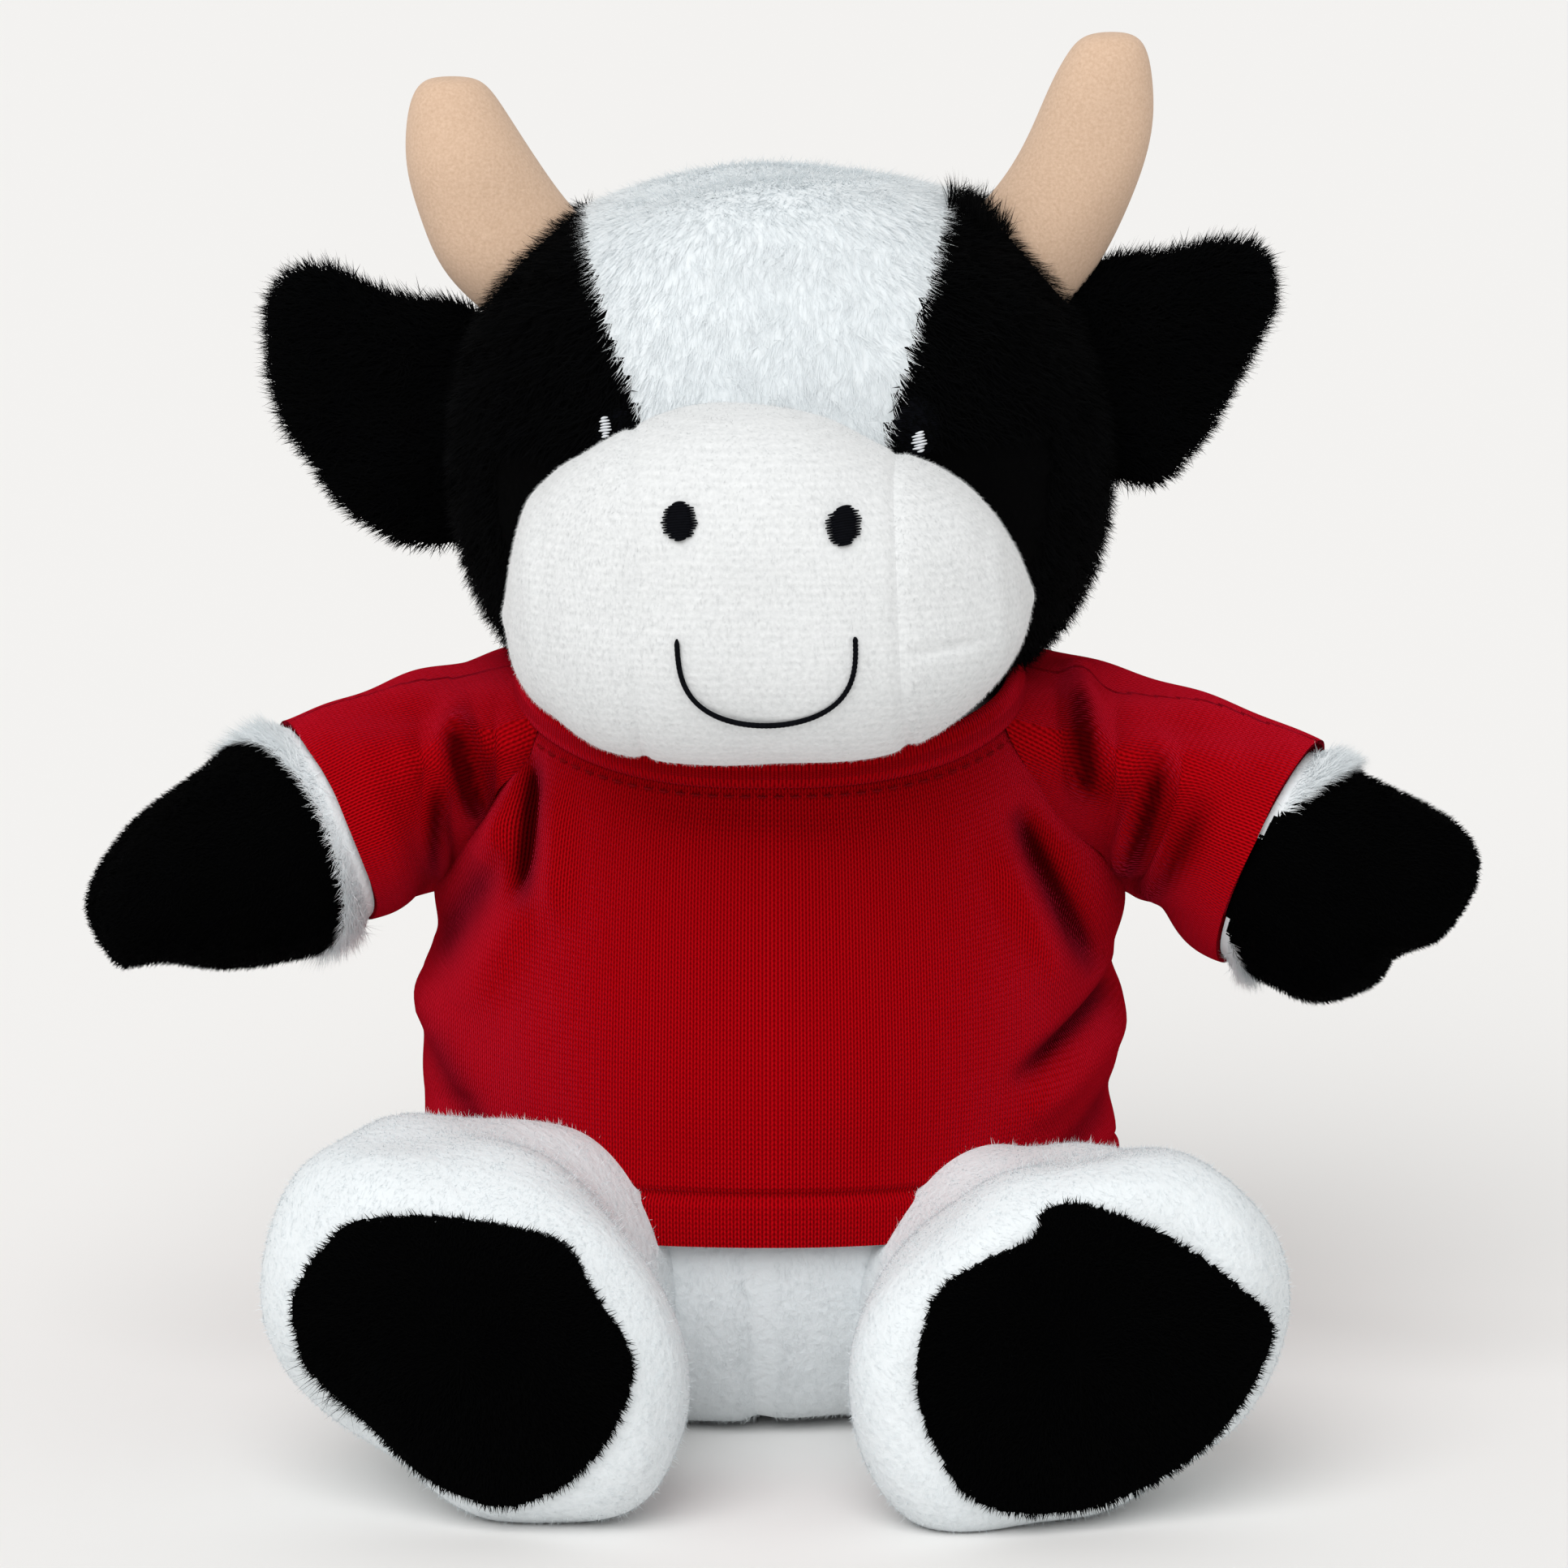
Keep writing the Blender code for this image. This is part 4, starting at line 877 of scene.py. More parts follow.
def threads(name, starts, ends, normals, radius, lift, body, finish, replaced=(), rings=6, sides=6):
    """Short stitches: a tube from each start to each end, arched along its normal by a half sine
    wave, and tapering by another."""
    t = (np.arange(rings) / (rings - 1))[None, :, None]
    line = starts[:, None] + t * (ends - starts)[:, None]
    line = line + lift * np.sin(math.pi * t) * normals[:, None]
    along = unit(ends - starts)
    side = unit(np.cross(along, normals))
    top = np.cross(side, along)
    angle = (math.tau * np.arange(sides) / sides)[None, None, :, None]
    size = radius * np.maximum(np.sin(math.pi * (0.12 + 0.76 * t)), 0.35)[..., None]
    around = np.cos(angle) * side[:, None, None] + np.sin(angle) * top[:, None, None]
    points = line[:, :, None] + size * around
    count = len(starts)
    index = np.arange(count * rings * sides).reshape(count, rings, sides)
    after = np.roll(index, -1, 2)
    quads = np.stack([index[:, :-1], after[:, :-1], after[:, 1:], index[:, 1:]], -1).reshape(-1, 4)
    caps = [index[:, 0, ::-1].reshape(-1, sides), index[:, -1].reshape(-1, sides)]
    points = points.reshape(-1, 3)
    faces = [quads, *caps]
    test = quads[0]
    facing = np.cross(points[test[1]] - points[test[0]], points[test[3]] - points[test[0]])
    if facing @ (points[test].mean(0) - line[0, 0]) < 0:
        faces = [f[:, ::-1] for f in faces]
    new_piece(f"{name}_thread", points, faces, body, finish, replaced)


def along_line(path, pitch, length):
    """Starts and ends of dashes of a length, one to each pitch along a line of points."""
    steps = np.linalg.norm(np.diff(path, axis=0), axis=1)
    reach = np.concatenate([[0], np.cumsum(steps)])
    starts = np.arange(0, reach[-1] - length, pitch)
    at = lambda s: np.stack([np.interp(s, reach, path[:, k]) for k in range(3)], -1)
    return at(starts), at(starts + length)


def collar_line(surface):
    """The collar's middle, and its directions outward and up, as functions of u."""

    def centre(u):
        return surface(u, np.ones_like(u))

    def up(u):
        tangent = surface(u, np.ones_like(u)) - surface(u, np.full_like(u, 0.97))
        lean = unit(tangent) + np.array((0, 0, 1.0))
        return unit(lean)

    def across(u):
        step = centre(u + 1e-3) - centre(u - 1e-3)
        return unit(np.cross(step, up(u)))

    def middle(u):
        return centre(u) + COLLAR_PLACE[0] * across(u) + COLLAR_PLACE[1] * up(u)

    return middle, across, up


def make_shirt():
    skin = shirt_skin()
    left, right = SIDE_SEAMS
    for name, reach, grid, flat, area in (
        ("shirt_front", (left, right), (420, 200), (0.130, 0.090), 0.0095),
        ("shirt_back", (right - 1, left), (420, 160), (0.177, 0.090), 0.0141),
    ):
        piece = cloth(name, skin, reach, grid, "torso", RED_JERSEY, SHIRT_CREASES)
    sweep_band("collar", *collar_line(skin), *COLLAR_SIZE, RED_RIB, "torso", 240)
    u = np.linspace(0, 1, 600)
    starts, ends = along_line(skin(u, np.full_like(u, NECK_STITCHES)), *NECK_DASHES)
    out = unit(starts * (1, 1, 0))
    rise = 0.25 * MM * out
    threads(
        "collar_stitches", starts + rise, ends + rise, out, STITCH_RADIUS, 0.25 * MM, "torso", RED_THREAD
    )


# Sleeves: from the raglan seam to the hem


# Round the seam from the side of the neck down the front to the armpit and up the back: degrees
# round the body from its side, and height, where 200 stands for the neckline
RAGLAN = (
    (0, 200), (-22, 200), (-40, 200), (-34, 95), (-26, 87.5), (-14, 80.5),
    (0, 76.5), (14, 80.5), (26, 87.5), (34, 95), (40, 200), (22, 200),
)
SLEEVE_CREASES = {
    "left": (
        ((-46.5, 105), (-43, 90), 1.9, -4.0),
        ((-52, 104), (-48, 86), 2.2, 1.8),
        ((-40, 106), (-41, 92), 1.6, 1.4),
        ((-49, 96), (-50, 80), 1.6, -2.6),
        ((-60, 102), (-55, 80), 3.0, -1.2),
    ),
    "right": (
        ((45.5, 110), (46.5, 95), 2.0, -3.6),
        ((51, 107), (50, 86), 2.4, 1.8),
        ((57, 100), (52, 80), 1.9, -3.4),
        ((63, 94), (55, 76), 2.2, -2.2),
        ((60, 98), (56, 80), 1.6, 1.4),
        ((71, 100), (62, 78), 3.0, 1.2),
    ),
}
SLEEVE_HEM = {
    # reach along the arm, rise of the middle, half height, half depth
    "left": (20.5, 2.5, 15.3, 15.5),
    "right": (30.2, 1.7, 17.3, 16.5),
}
ARM_PIVOT = {s: np.array((OUTWARD[s] * 46.5, -8.0, 94.0)) * MM for s in SIDES}
ARM_LEAN, ARM_DROOP = math.radians(14.0), math.radians(21.5)


def arm_turn(side):
    """Local X outward, turned forward by the lean and down by the droop."""
    out = OUTWARD[side]
    level = np.array((out * math.cos(ARM_LEAN), -math.sin(ARM_LEAN), 0.0))
    return along_axes(math.cos(ARM_DROOP) * level - np.array((0, 0, math.sin(ARM_DROOP))))


def raglan_line(side):
    """The seam: a closed Hermite curve through its angles and heights, laid on the shirt."""
    out = OUTWARD[side]
    skin = shirt_skin()
    degrees, height = np.array(RAGLAN, float).T
    u = degrees / 360 if out > 0 else 0.5 - degrees / 360
    height = np.minimum(height * MM, neckline(u))
    share = (height - HEM_HEIGHT) / (neckline(u) - HEM_HEIGHT)

    def line(a):
        at, rise = np.moveaxis(closed_through(np.stack([u, share], -1), a), -1, 0)
        return skin(at, np.minimum(rise, 1.0))

    return line


def sleeve_skin(side):
    """Hermite curves from the raglan seam (t = 0) to an oval hem (t = 1), with the creases added."""
    out = OUTWARD[side]
    raglan = raglan_line(side)
    turn = arm_turn(side)
    reach, rise, half_height, half_depth = np.array(SLEEVE_HEM[side]) * MM
    front = -turn[:, 1] * np.sign(turn[1, 1])

    def hem(a):
        angle = (math.tau * a)[..., None]
        middle = ARM_PIVOT[side] + reach * turn[:, 0] + rise * turn[:, 2]
        bulge = -1.2 * MM * np.sin(angle) * turn[:, 0]
        return middle + half_height * np.cos(angle) * turn[:, 2] + half_depth * np.sin(angle) * front + bulge

    def surface(a, t):
        start, end = raglan(a), hem(a)
        span = np.linalg.norm(end - start, axis=-1, keepdims=True)
        leave = unit(np.array((out, 0.0, -0.22)) + 0.5 * unit(start * (1, 1, 0)))
        t = t[..., None]
        h00, h10 = (1 + 2 * t) * (1 - t) ** 2, t * (1 - t) ** 2
        h01, h11 = t**2 * (3 - 2 * t), t**2 * (t - 1)
        return h00 * start + h10 * span * leave + h01 * end + h11 * span * turn[:, 0] * 0.9

    def folded(a, t):
        place = surface(a, t)
        step = 1e-3
        da = surface(a + step, t) - surface(a - step, t)
        dt = surface(a, np.minimum(t + step, 1)) - surface(a, np.maximum(t - step, 0))
        normal = unit(np.cross(da, dt)) * -out
        middle = np.sin(math.pi * np.clip(t, 0, 1)) ** 0.6
        rise = sum(crease(place, *line) for line in SLEEVE_CREASES[side])
        rise = rise * step_between(np.sin(math.tau * a), -0.3, 0.2) + 0.5 * MM * waver(place, 15 * MM, 11)
        return place + (0.35 * MM + rise * middle)[..., None] * normal

    return folded


# Width and length of each sleeve's cut, its area, and its mean length
SLEEVE_CUT = {
    "left": ((0.137, 0.050), 0.00348, 0.035),
    "right": ((0.140, 0.059), 0.00475, 0.043),
}


def make_sleeve(side):
    skin = sleeve_skin(side)
    turn, pivot = arm_turn(side), ARM_PIVOT[side]
    flat, area, mean_length = SLEEVE_CUT[side]
    body = ("torso", f"arm_{side}", tuple(pivot - 8 * MM * turn[:, 0]), tuple(pivot + 14 * MM * turn[:, 0]))

    def surface(u, w):
        return skin(-OUTWARD[side] * u, w)

    def chart(places):
        along, across, up = np.moveaxis((places - pivot) @ turn, -1, 0)
        return np.stack([np.arctan2(across, -up) / math.tau, along / mean_length], -1)

    piece = cloth(
        f"sleeve_{side}", surface, (0, 1), (260, 110), body, RED_SLEEVE, SLEEVE_CREASES[side],
        chart, closed=True,
    )
    u = np.linspace(0, 1, LINE_SAMPLES)
    path = skin(u, np.full_like(u, 1 - SLEEVE_HEM_SEAM / mean_length))
    starts, ends = along_line(path, *SLEEVE_DASHES)
    axis = pivot + ((starts - pivot) @ turn[:, 0])[:, None] * turn[:, 0]
    out = unit(starts - axis)
    threads(f"sleeve_stitches_{side}", starts, ends, out, STITCH_RADIUS, 0.1 * MM, body, RED_THREAD)


# Arms and hoofs


ARM_ROWS = {
    # along, rise, half across, half up
    "left": (
        (-6, 0, 8, 8), (4, 1.0, 9.5, 9.5), (13, 2.0, 12.5, 12.0), (20.5, 2.4, 15.4, 15.2),
        (26, 1.9, 18.0, 17.7), (34, 1.2, 16.4, 15.1), (41, 1.4, 15.6, 13.8), (46.5, 2.1, 15.0, 11.6),
        (51.5, 2.4, 13.8, 8.6), (56, 1.4, 11.0, 6.5), (58.8, -0.2, 7.0, 5.1),
    ),
    "right": (
        (-6, 0, 8, 8), (4, 0.8, 9.5, 9.5), (14, 1.0, 12.5, 12.0), (22, 1.2, 14.0, 13.6),
        (32, 1.2, 17.0, 17.4), (37, 0.6, 15.0, 16.8), (43, 0.2, 13.6, 17.0), (48.5, 0.4, 12.0, 16.8),
        (52.5, 0.8, 10.2, 15.4), (56, 1.2, 8.0, 12.6), (58.4, 1.4, 5.0, 7.8),
    ),
}
ARM_HALF = 15 * MM
# Where the white cuff ends: reach, less in front, less in the middle, less above
CUFF = {"left": (28.5, 4.9, 0.0, 1.6), "right": (34.0, 1.5, 4.0, 0.0)}


def make_arm(side):
    """The arm and the hoof are one soft form, with its tip cloven. Past the cuff's seam it is black."""
    out = OUTWARD[side]
    turn = arm_turn(side)
    cuff, tilt, dip, slant = np.array(CUFF[side]) * MM

    def cloven(local):
        """Two toes: the tip is slanted by the height, or level, and dented by a bell between them."""
        x, y, z = np.moveaxis(local, -1, 0)
        tip = step_between(x, 38 * MM, 60 * MM)
        if side == "right":
            dent = 3.0 * MM * bell(z + 5 * MM, 4 * MM)
            x = x + tip * (0.2 * z + 0.24 * np.minimum(z, 0) - dent)
        else:
            x = x - tip * 2.6 * MM * bell(y, 3.8 * MM)
        return np.stack([x, y, z], -1)

    form = soft_form(ARM_ROWS[side], ARM_PIVOT[side], turn, SQUARENESS, cloven)

    def local(places):
        return (places - ARM_PIVOT[side]) @ turn

    def past_cuff(places):
        """How far a place is past the seam of the cuff, toward the hoof: the seam's reach changes
        with the front, with the square of the height and with the height."""
        here = local(places)
        front = here[..., 1] * (-np.sign(turn[1, 1])) / ARM_HALF
        up = here[..., 2] / ARM_HALF
        return here[..., 0] - cuff + tilt * front + dip * (1 - up**2) + slant * np.clip(up, -1.2, 0.8)

    body = f"arm_{side}"
    hem = (SLEEVE_HEM[side][0] - 1.0) * MM
    white_from = lambda start: lambda p: (past_cuff(p) <= 0) & (local(p)[..., 0] > hem + start * MM)
    black = lambda p: past_cuff(p) > 0
    outward = toward(*turn[:, 0])
    coats = [
        strands(form, *CUFF_COAT, outward, white_from(1.2), 60 + out),
        strands(form, *CUFF_LOOSE, outward, white_from(2.6), 160 + out),
    ]
    panel = kept_grid(form, (110, 150), white_from(-5))
    pile_panel(f"arm_skin_{side}", panel, coats, body, WHITE_PILE)
    coat = strands(form, *HOOF_COAT, outward, black, 64 + out)
    panel = kept_grid(form, (140, 200), black)
    pile_panel(f"hoof_mitt_{side}", panel, [coat], body, BLACK_SHORT)
    stuffing("arm", form, (40, 48), body, f"_{side}")


# Legs and soles


LEG_ROWS = {
    # along, rise, half across, half up
    "left": (
        (-4.0, 0, 15.6, 15.9), (10.6, 0, 19.8, 21.0), (26.7, 0.4, 23.2, 25.2), (45.6, 0.6, 27.2, 26.2),
        (60.2, 0.2, 29.4, 25.4), (67.8, 0, 25.5, 21.6), (69.8, 0, 17.0, 14.5),
    ),
    "right": (
        (-4.0, 0, 16.0, 15.9), (10.6, -1.2, 20.6, 19.4), (26.7, -1.4, 24.4, 22.2),
        (45.6, -0.8, 28.6, 24.4), (60.2, -0.4, 31.2, 25.0), (67.8, 0, 27.4, 23.2), (69.8, 0, 18.4, 16.0),
    ),
}
LEG_SPLAY = math.radians(12.1)
SOLE_OUTLINE = {
    # round the sole, as seen from the front: (across, up) from the leg's middle line
    "left": (
        (24.3, 1.2), (18.8, 10.6), (13.1, 17.6), (-0.6, 20.3), (-12.5, 20.0), (-18.5, 16.8),
        (-24.3, 8.2), (-24.0, 1.5), (-22.2, -3.4), (-14.6, -10.6), (-7.8, -16.4), (-1.2, -19.4), (6.3, -20.8),
        (15.4, -16.5), (22.2, -8.2),
    ),
    "right": (
        (28.8, 2.8), (22.7, 9.8), (16.2, 15.0), (9.1, 19.2), (1.1, 22.3), (-4.6, 21.7),
        (-6.9, 18.1), (-14.9, 14.5), (-20.6, 9.8), (-23.2, -0.7), (-20.6, -11.3), (-14.9, -19.0),
        (-4.6, -21.8), (7.9, -20.0), (19.3, -13.6), (26.2, -5.4),
    ),
}


# How each leg's section leans: lean outward, sway outward, and what is cut away at a heading
LEG_LEAN = {"left": (0.24, 6.0, 3.4, 225.0), "right": (0.20, 5.5, 0.0, 318.0)}
SOLE_FRAY = np.array((-21.0, -5.0)) * MM  # the seam of the left sole is frayed here
SOLE_FROM = 55 * MM  # along the leg
LEG_PILE_FROM = 12 * MM


def leg_place(side):
    """The middle of the leg's root."""
    return np.array((OUTWARD[side] * 29.0, -20.0, 25.1)) * MM


def leg_turn(side):
    """Local X forward, turned outward by the splay."""
    return along_axes((OUTWARD[side] * math.sin(LEG_SPLAY), -math.cos(LEG_SPLAY), 0))


def inside_outline(outline, flat):
    """True inside a closed outline: there the angles between its points, seen from the place, add
    up to a full turn, and outside to nothing."""
    at = np.linspace(0, 1, 181)
    loop = closed_through(np.array(outline) * MM, at)
    total = np.zeros(flat.shape[:-1])
    for near, far in zip(loop[:-1], loop[1:]):
        a, b = near - flat, far - flat
        cross = a[..., 0] * b[..., 1] - a[..., 1] * b[..., 0]
        total += np.arctan2(cross, (a * b).sum(-1))
    return np.abs(total) > math.pi


def make_leg(side):
    """The leg is one soft form, splayed and leaning, with the sole's outline on its end."""
    out = OUTWARD[side]
    turn, place = leg_turn(side), leg_place(side)
    lean, sway, cut, heading = LEG_LEAN[side]

    def leaning(local):
        """The leg sways outward, at its foot only the outer side, and a point rises by the lean
        times how far outward it is."""
        x, y, z = np.moveaxis(local, -1, 0)
        grown = step_between(x, 6 * MM, 30 * MM)
        whole = step_between(-x, -52 * MM, -32 * MM)
        moved = whole + (1 - whole) * step_between(out * y, -10 * MM, 16 * MM)
        shift = sway * MM * grown * moved * step_between(-x, -68 * MM, -46 * MM)
        return np.stack([x, y + out * shift, z + lean * out * y * grown], -1)

    plain = soft_form(LEG_ROWS[side], place, turn, LEG_SQUARENESS, leaning)

    def local(places):
        return (places - place) @ turn

    def soft(places):
        """A waver, a fuller rim round the sole, the sole drawn in, and less at one heading by a bell."""
        here = local(places)
        sole = step_between(here[..., 0], 58 * MM, 64 * MM)
        rim = np.exp(-((here[..., 0] - 60 * MM) ** 2) / (2 * (7 * MM) ** 2))
        away = np.degrees(np.arctan2(here[..., 2], here[..., 1])) - heading
        away = (away + 180) % 360 - 180
        pared = bell(away, 38) * step_between(here[..., 0], 30 * MM, 50 * MM)
        pared = pared * step_between(np.linalg.norm(here[..., 1:], axis=-1), 10 * MM, 20 * MM)
        level = 0.7 * MM * waver(places, 26 * MM, 30 + out) + 0.8 * MM * rim - 0.4 * MM * sole
        return level - cut * MM * pared

    skin = grounded(pushed(plain, soft))

    def on_sole(places):
        here = local(places)
        inside = inside_outline(SOLE_OUTLINE[side], here[..., 1:])
        return inside & (here[..., 0] > SOLE_FROM)

    body = f"leg_{side}"
    fur = lambda p: ~on_sole(p)
    behind = lambda p: fur(p) & (local(p)[..., 0] > LEG_PILE_FROM)
    flow = toward(*turn[:, 0])
    coats = [
        strands(skin, *LEG_COAT, flow, behind, 70 + out, 0.3, 0.3),
        strands(skin, *LEG_LOOSE, flow, behind, 170 + out),
    ]
    panel = kept_grid(skin, (220, 200), fur)
    pile_panel(f"leg_skin_{side}", panel, coats, body, WHITE_PILE)
    raised = pushed(skin, lambda p: np.full(p.shape[:-1], 0.6 * MM))
    spread = lambda p: unit((local(p) * (0, 1, 1)) @ turn.T) + (0, 0, -0.3)
    coats = [strands(raised, *SOLE_COAT, spread, on_sole, 74 + out)]
    if out < 0:
        frayed = lambda p: on_sole(p) & (np.linalg.norm(local(p)[..., 1:] - SOLE_FRAY, axis=-1) < 6 * MM)
        coats.append(strands(raised, *SOLE_FRAYED, spread, frayed, 174, 0.6, 1.2))
    panel = kept_grid(raised, (260, 220), on_sole)
    pile_panel(f"sole_pad_{side}", panel, coats, body, BLACK_SHORT)
    stuffing("leg", skin, (48, 48), body, f"_{side}")


# Head


HORN_TUFT = np.array((30.0, -6.0, 72.0)) * MM  # where longer strands stand beside the right horn


def head_frame_of(places):
    """Places as seen from the neck, with the head's turn undone."""
    return (places - NECK) @ HEAD_TURN


def head_skin():
    """The head: one soft form, upright in the head frame, with a fuller crown."""
    plain = soft_form(HEAD_ROWS, NECK, HEAD_TURN @ UPRIGHT, SQUARENESS)

    def crown(places):
        """The blaze is fuller on top of the head, most in its middle."""
        here = head_frame_of(places)
        fuller = bell(here[..., 0], 20 * MM) * step_between(here[..., 2], 66 * MM, 76 * MM)
        return 2.6 * MM * fuller + 0.5 * MM * waver(places, 30 * MM, 3) - 0.6 * MM

    return pushed(plain, crown)


def on_blaze(places):
    """The white centre of the head: within a half width that is read from the height, narrow in front
    and wider toward the crown, and ending behind it."""
    here = head_frame_of(places) / MM
    half = np.interp(here[..., 2], (-50, 46, 79, 90), (17.0, 17.0, 28.0, 28.6))
    return (np.abs(here[..., 0]) < half) & ((here[..., 1] < 22) | (here[..., 2] > 60))


def make_head():
    skin = head_skin()

    def hidden(places):
        """Under the muzzle, where no pile grows."""
        here = head_frame_of(places)
        return (here[..., 1] < -25 * MM) & (np.abs(here[..., 2] - 26 * MM) < 18 * MM)

    white = lambda p: on_blaze(p) & ~hidden(p)

    def fall(places):
        """Down the front, and outward by the cube of the distance from the middle."""
        across = head_frame_of(places)[..., :1] / (24 * MM)
        down = [np.full_like(across, -0.45), np.full_like(across, -0.9)]
        return np.concatenate([across**3, *down], -1) @ HEAD_TURN.T

    coats = [
        strands(skin, *BLAZE_COAT, fall, white, 20, 0.3, 0.3),
        strands(skin, *BLAZE_LOOSE, fall, white, 120),
    ]
    pile_panel("blaze", kept_grid(skin, (260, 200), on_blaze), coats, "head", WHITE_PILE)
    for side in SIDES:
        out = OUTWARD[side]
        mine = lambda p: ~on_blaze(p) & (head_frame_of(p)[..., 0] * out > 0)
        shown = lambda p: mine(p) & ~hidden(p)
        comb = toward(*(HEAD_TURN @ np.array((out * 0.5, -0.2, -0.8))))
        coats = [strands(skin, *HEAD_COAT, comb, shown, 22 + out)]
        if out > 0:
            tuft = lambda p: shown(p) & (np.linalg.norm(head_frame_of(p) - HORN_TUFT, axis=-1) < 6 * MM)
            coats.append(strands(skin, *HORN_SIDE_TUFT, toward(-0.4, -0.3, 1.0), tuft, 122))
        panel = kept_grid(skin, (260, 200), mine)
        pile_panel(f"head_side_{side}", panel, coats, "head", BLACK_PILE)
    stuffing("head", skin, (64, 48), "head")


# Muzzle


def muzzle_shape(across):
    """Middle and half sizes (z, then y) of the muzzle's section at a place across it."""
    x, low, high, back, reach = np.array(MUZZLE_COLUMNS).T * MM
    values = np.stack([(low + high) / 2, (high - low) / 2, -(reach + back) / 2, (reach - back) / 2], -1)
    rise, half, middle, depth = np.moveaxis(through(x, values, across), -1, 0)
    ends = MUZZLE_ENDS
    share = (across - ends.mean()) / (ends[1] - ends[0]) * 2
    close = np.sqrt(np.clip(1 - np.abs(share) ** 30, 0, 1))
    return rise, half * close, middle, depth * close


def muzzle_skin():
    """The muzzle: a superellipse upright at each place across it, whose middle and half sizes are read
    from the columns, with places closer together toward both ends by a cosine."""
    first, last = MUZZLE_ENDS

    def smooth(u, v):
        across = first + (last - first) * (0.5 - 0.5 * np.cos(math.pi * v))
        rise, half, middle, depth = muzzle_shape(across)
        y, z = superellipse(u, MUZZLE_SQUARENESS)
        local = np.stack([across, middle + depth * y, rise + half * z], -1)
        return local @ HEAD_TURN.T + NECK

    def seams(places):
        """Bell-shaped grooves at both seams and along the dart of the right cheek."""
        here = head_frame_of(places)
        x, z = here[..., 0], here[..., 2]
        groove = sum(bell(x - OUTWARD[side] * MUZZLE_SEAM, 0.9 * MM) for side in SIDES)
        dart = bell(z - 19 * MM - 0.08 * (x - 26 * MM), 0.8 * MM)
        dart = dart * step_between(x, 19 * MM, 21 * MM) * step_between(-x, -32 * MM, -27 * MM)
        return -0.55 * MM * groove - 0.5 * MM * dart + 0.3 * MM * waver(here, 20 * MM, 9)

    return pushed(smooth, seams)


def front_of_muzzle(x, z):
    """Place and normal, in the head frame, of the muzzle's front at (x, z)."""

    def depth_at(x, z):
        rise, half, middle, depth = muzzle_shape(x)
        share = np.clip(np.abs((z - rise) / half), 0, 0.999)
        return middle - depth * (1 - share**MUZZLE_SQUARENESS) ** (1 / MUZZLE_SQUARENESS)

    return on_front(depth_at, x, z)


def front_of_head(x, z):
    """The same for the head's front."""
    table, _ = heights_of(HEAD_ROWS)

    def depth_at(x, z):
        wide = np.interp(z, table[:, 0], table[:, 2])
        deep = np.interp(z, table[:, 0], table[:, 3])
        share = np.clip(np.abs(x / wide), 0, 0.999)
        return -deep * (1 - share**SQUARENESS) ** (1 / SQUARENESS)

    return on_front(depth_at, x, z)


def on_front(depth_at, x, z):
    """Place and normal where y = depth_at(x, z), from its slopes over small steps."""
    step = 0.2 * MM
    y = depth_at(x, z)
    slope_x = (depth_at(x + step, z) - depth_at(x - step, z)) / (2 * step)
    slope_z = (depth_at(x, z + step) - depth_at(x, z - step)) / (2 * step)
    normal = unit(np.stack([slope_x, -np.ones_like(x), slope_z], -1))
    return np.stack([x, y, z], -1), normal


def sewn(name, front, starts, ends, radius, lift, rise, finish):
    """Stitches between (x, z) places in mm, laid on a front of the head."""
    places = []
    for flat in (starts, ends):
        flat = np.array(flat) * MM
        place, normal = front(flat[:, 0], flat[:, 1])
        places.append((place + rise * MM * normal) @ HEAD_TURN.T + NECK)
    facing = normal @ HEAD_TURN.T
    threads(name, *places, facing, radius * MM, lift * MM, "head", finish, (name,), rings=7)


def satin(centre, half_width, half_height, pitch, seed):
    """Level stitches, side by side, that fill an oval."""
    rng = np.random.default_rng(seed)
    z = np.arange(-half_height + pitch / 2, half_height, pitch)
    reach = half_width * np.sqrt(1 - (z / half_height) ** 2) + 0.1
    slack = rng.uniform(-0.25, 0.25, (2, len(z)))
    starts = np.stack([centre[0] - reach + slack[0], centre[1] + z - 0.12], -1)
    ends = np.stack([centre[0] + reach + slack[1], centre[1] + z + 0.12], -1)
    return starts, ends


STITCHED = (
    # name, front, centres (across, up), half width, half height, pitch, seed, then the thread's
    # radius, arch, height above the front, and finish
    (
        "nostril", front_of_muzzle, {"left": (-11.4, 38.9), "right": (11.4, 37.3)},
        2.35, 2.6, 0.34, 5, 0.27, 0.3, 0.35, DARK_THREAD,
    ),
    (
        "eye", front_of_head, {"left": (-21.8, 46.5), "right": (21.8, 46.5)},
        3.4, 4.2, 0.34, 7, 0.3, 0.2, -0.5, DARK_THREAD,
    ),
    (
        "eye_glint", front_of_head, {"left": (-22.4, 48.2), "right": (21.0, 44.6)},
        0.8, 1.5, 0.42, 9, 0.2, 0.3, 2.2, PALE_THREAD,
    ),
)


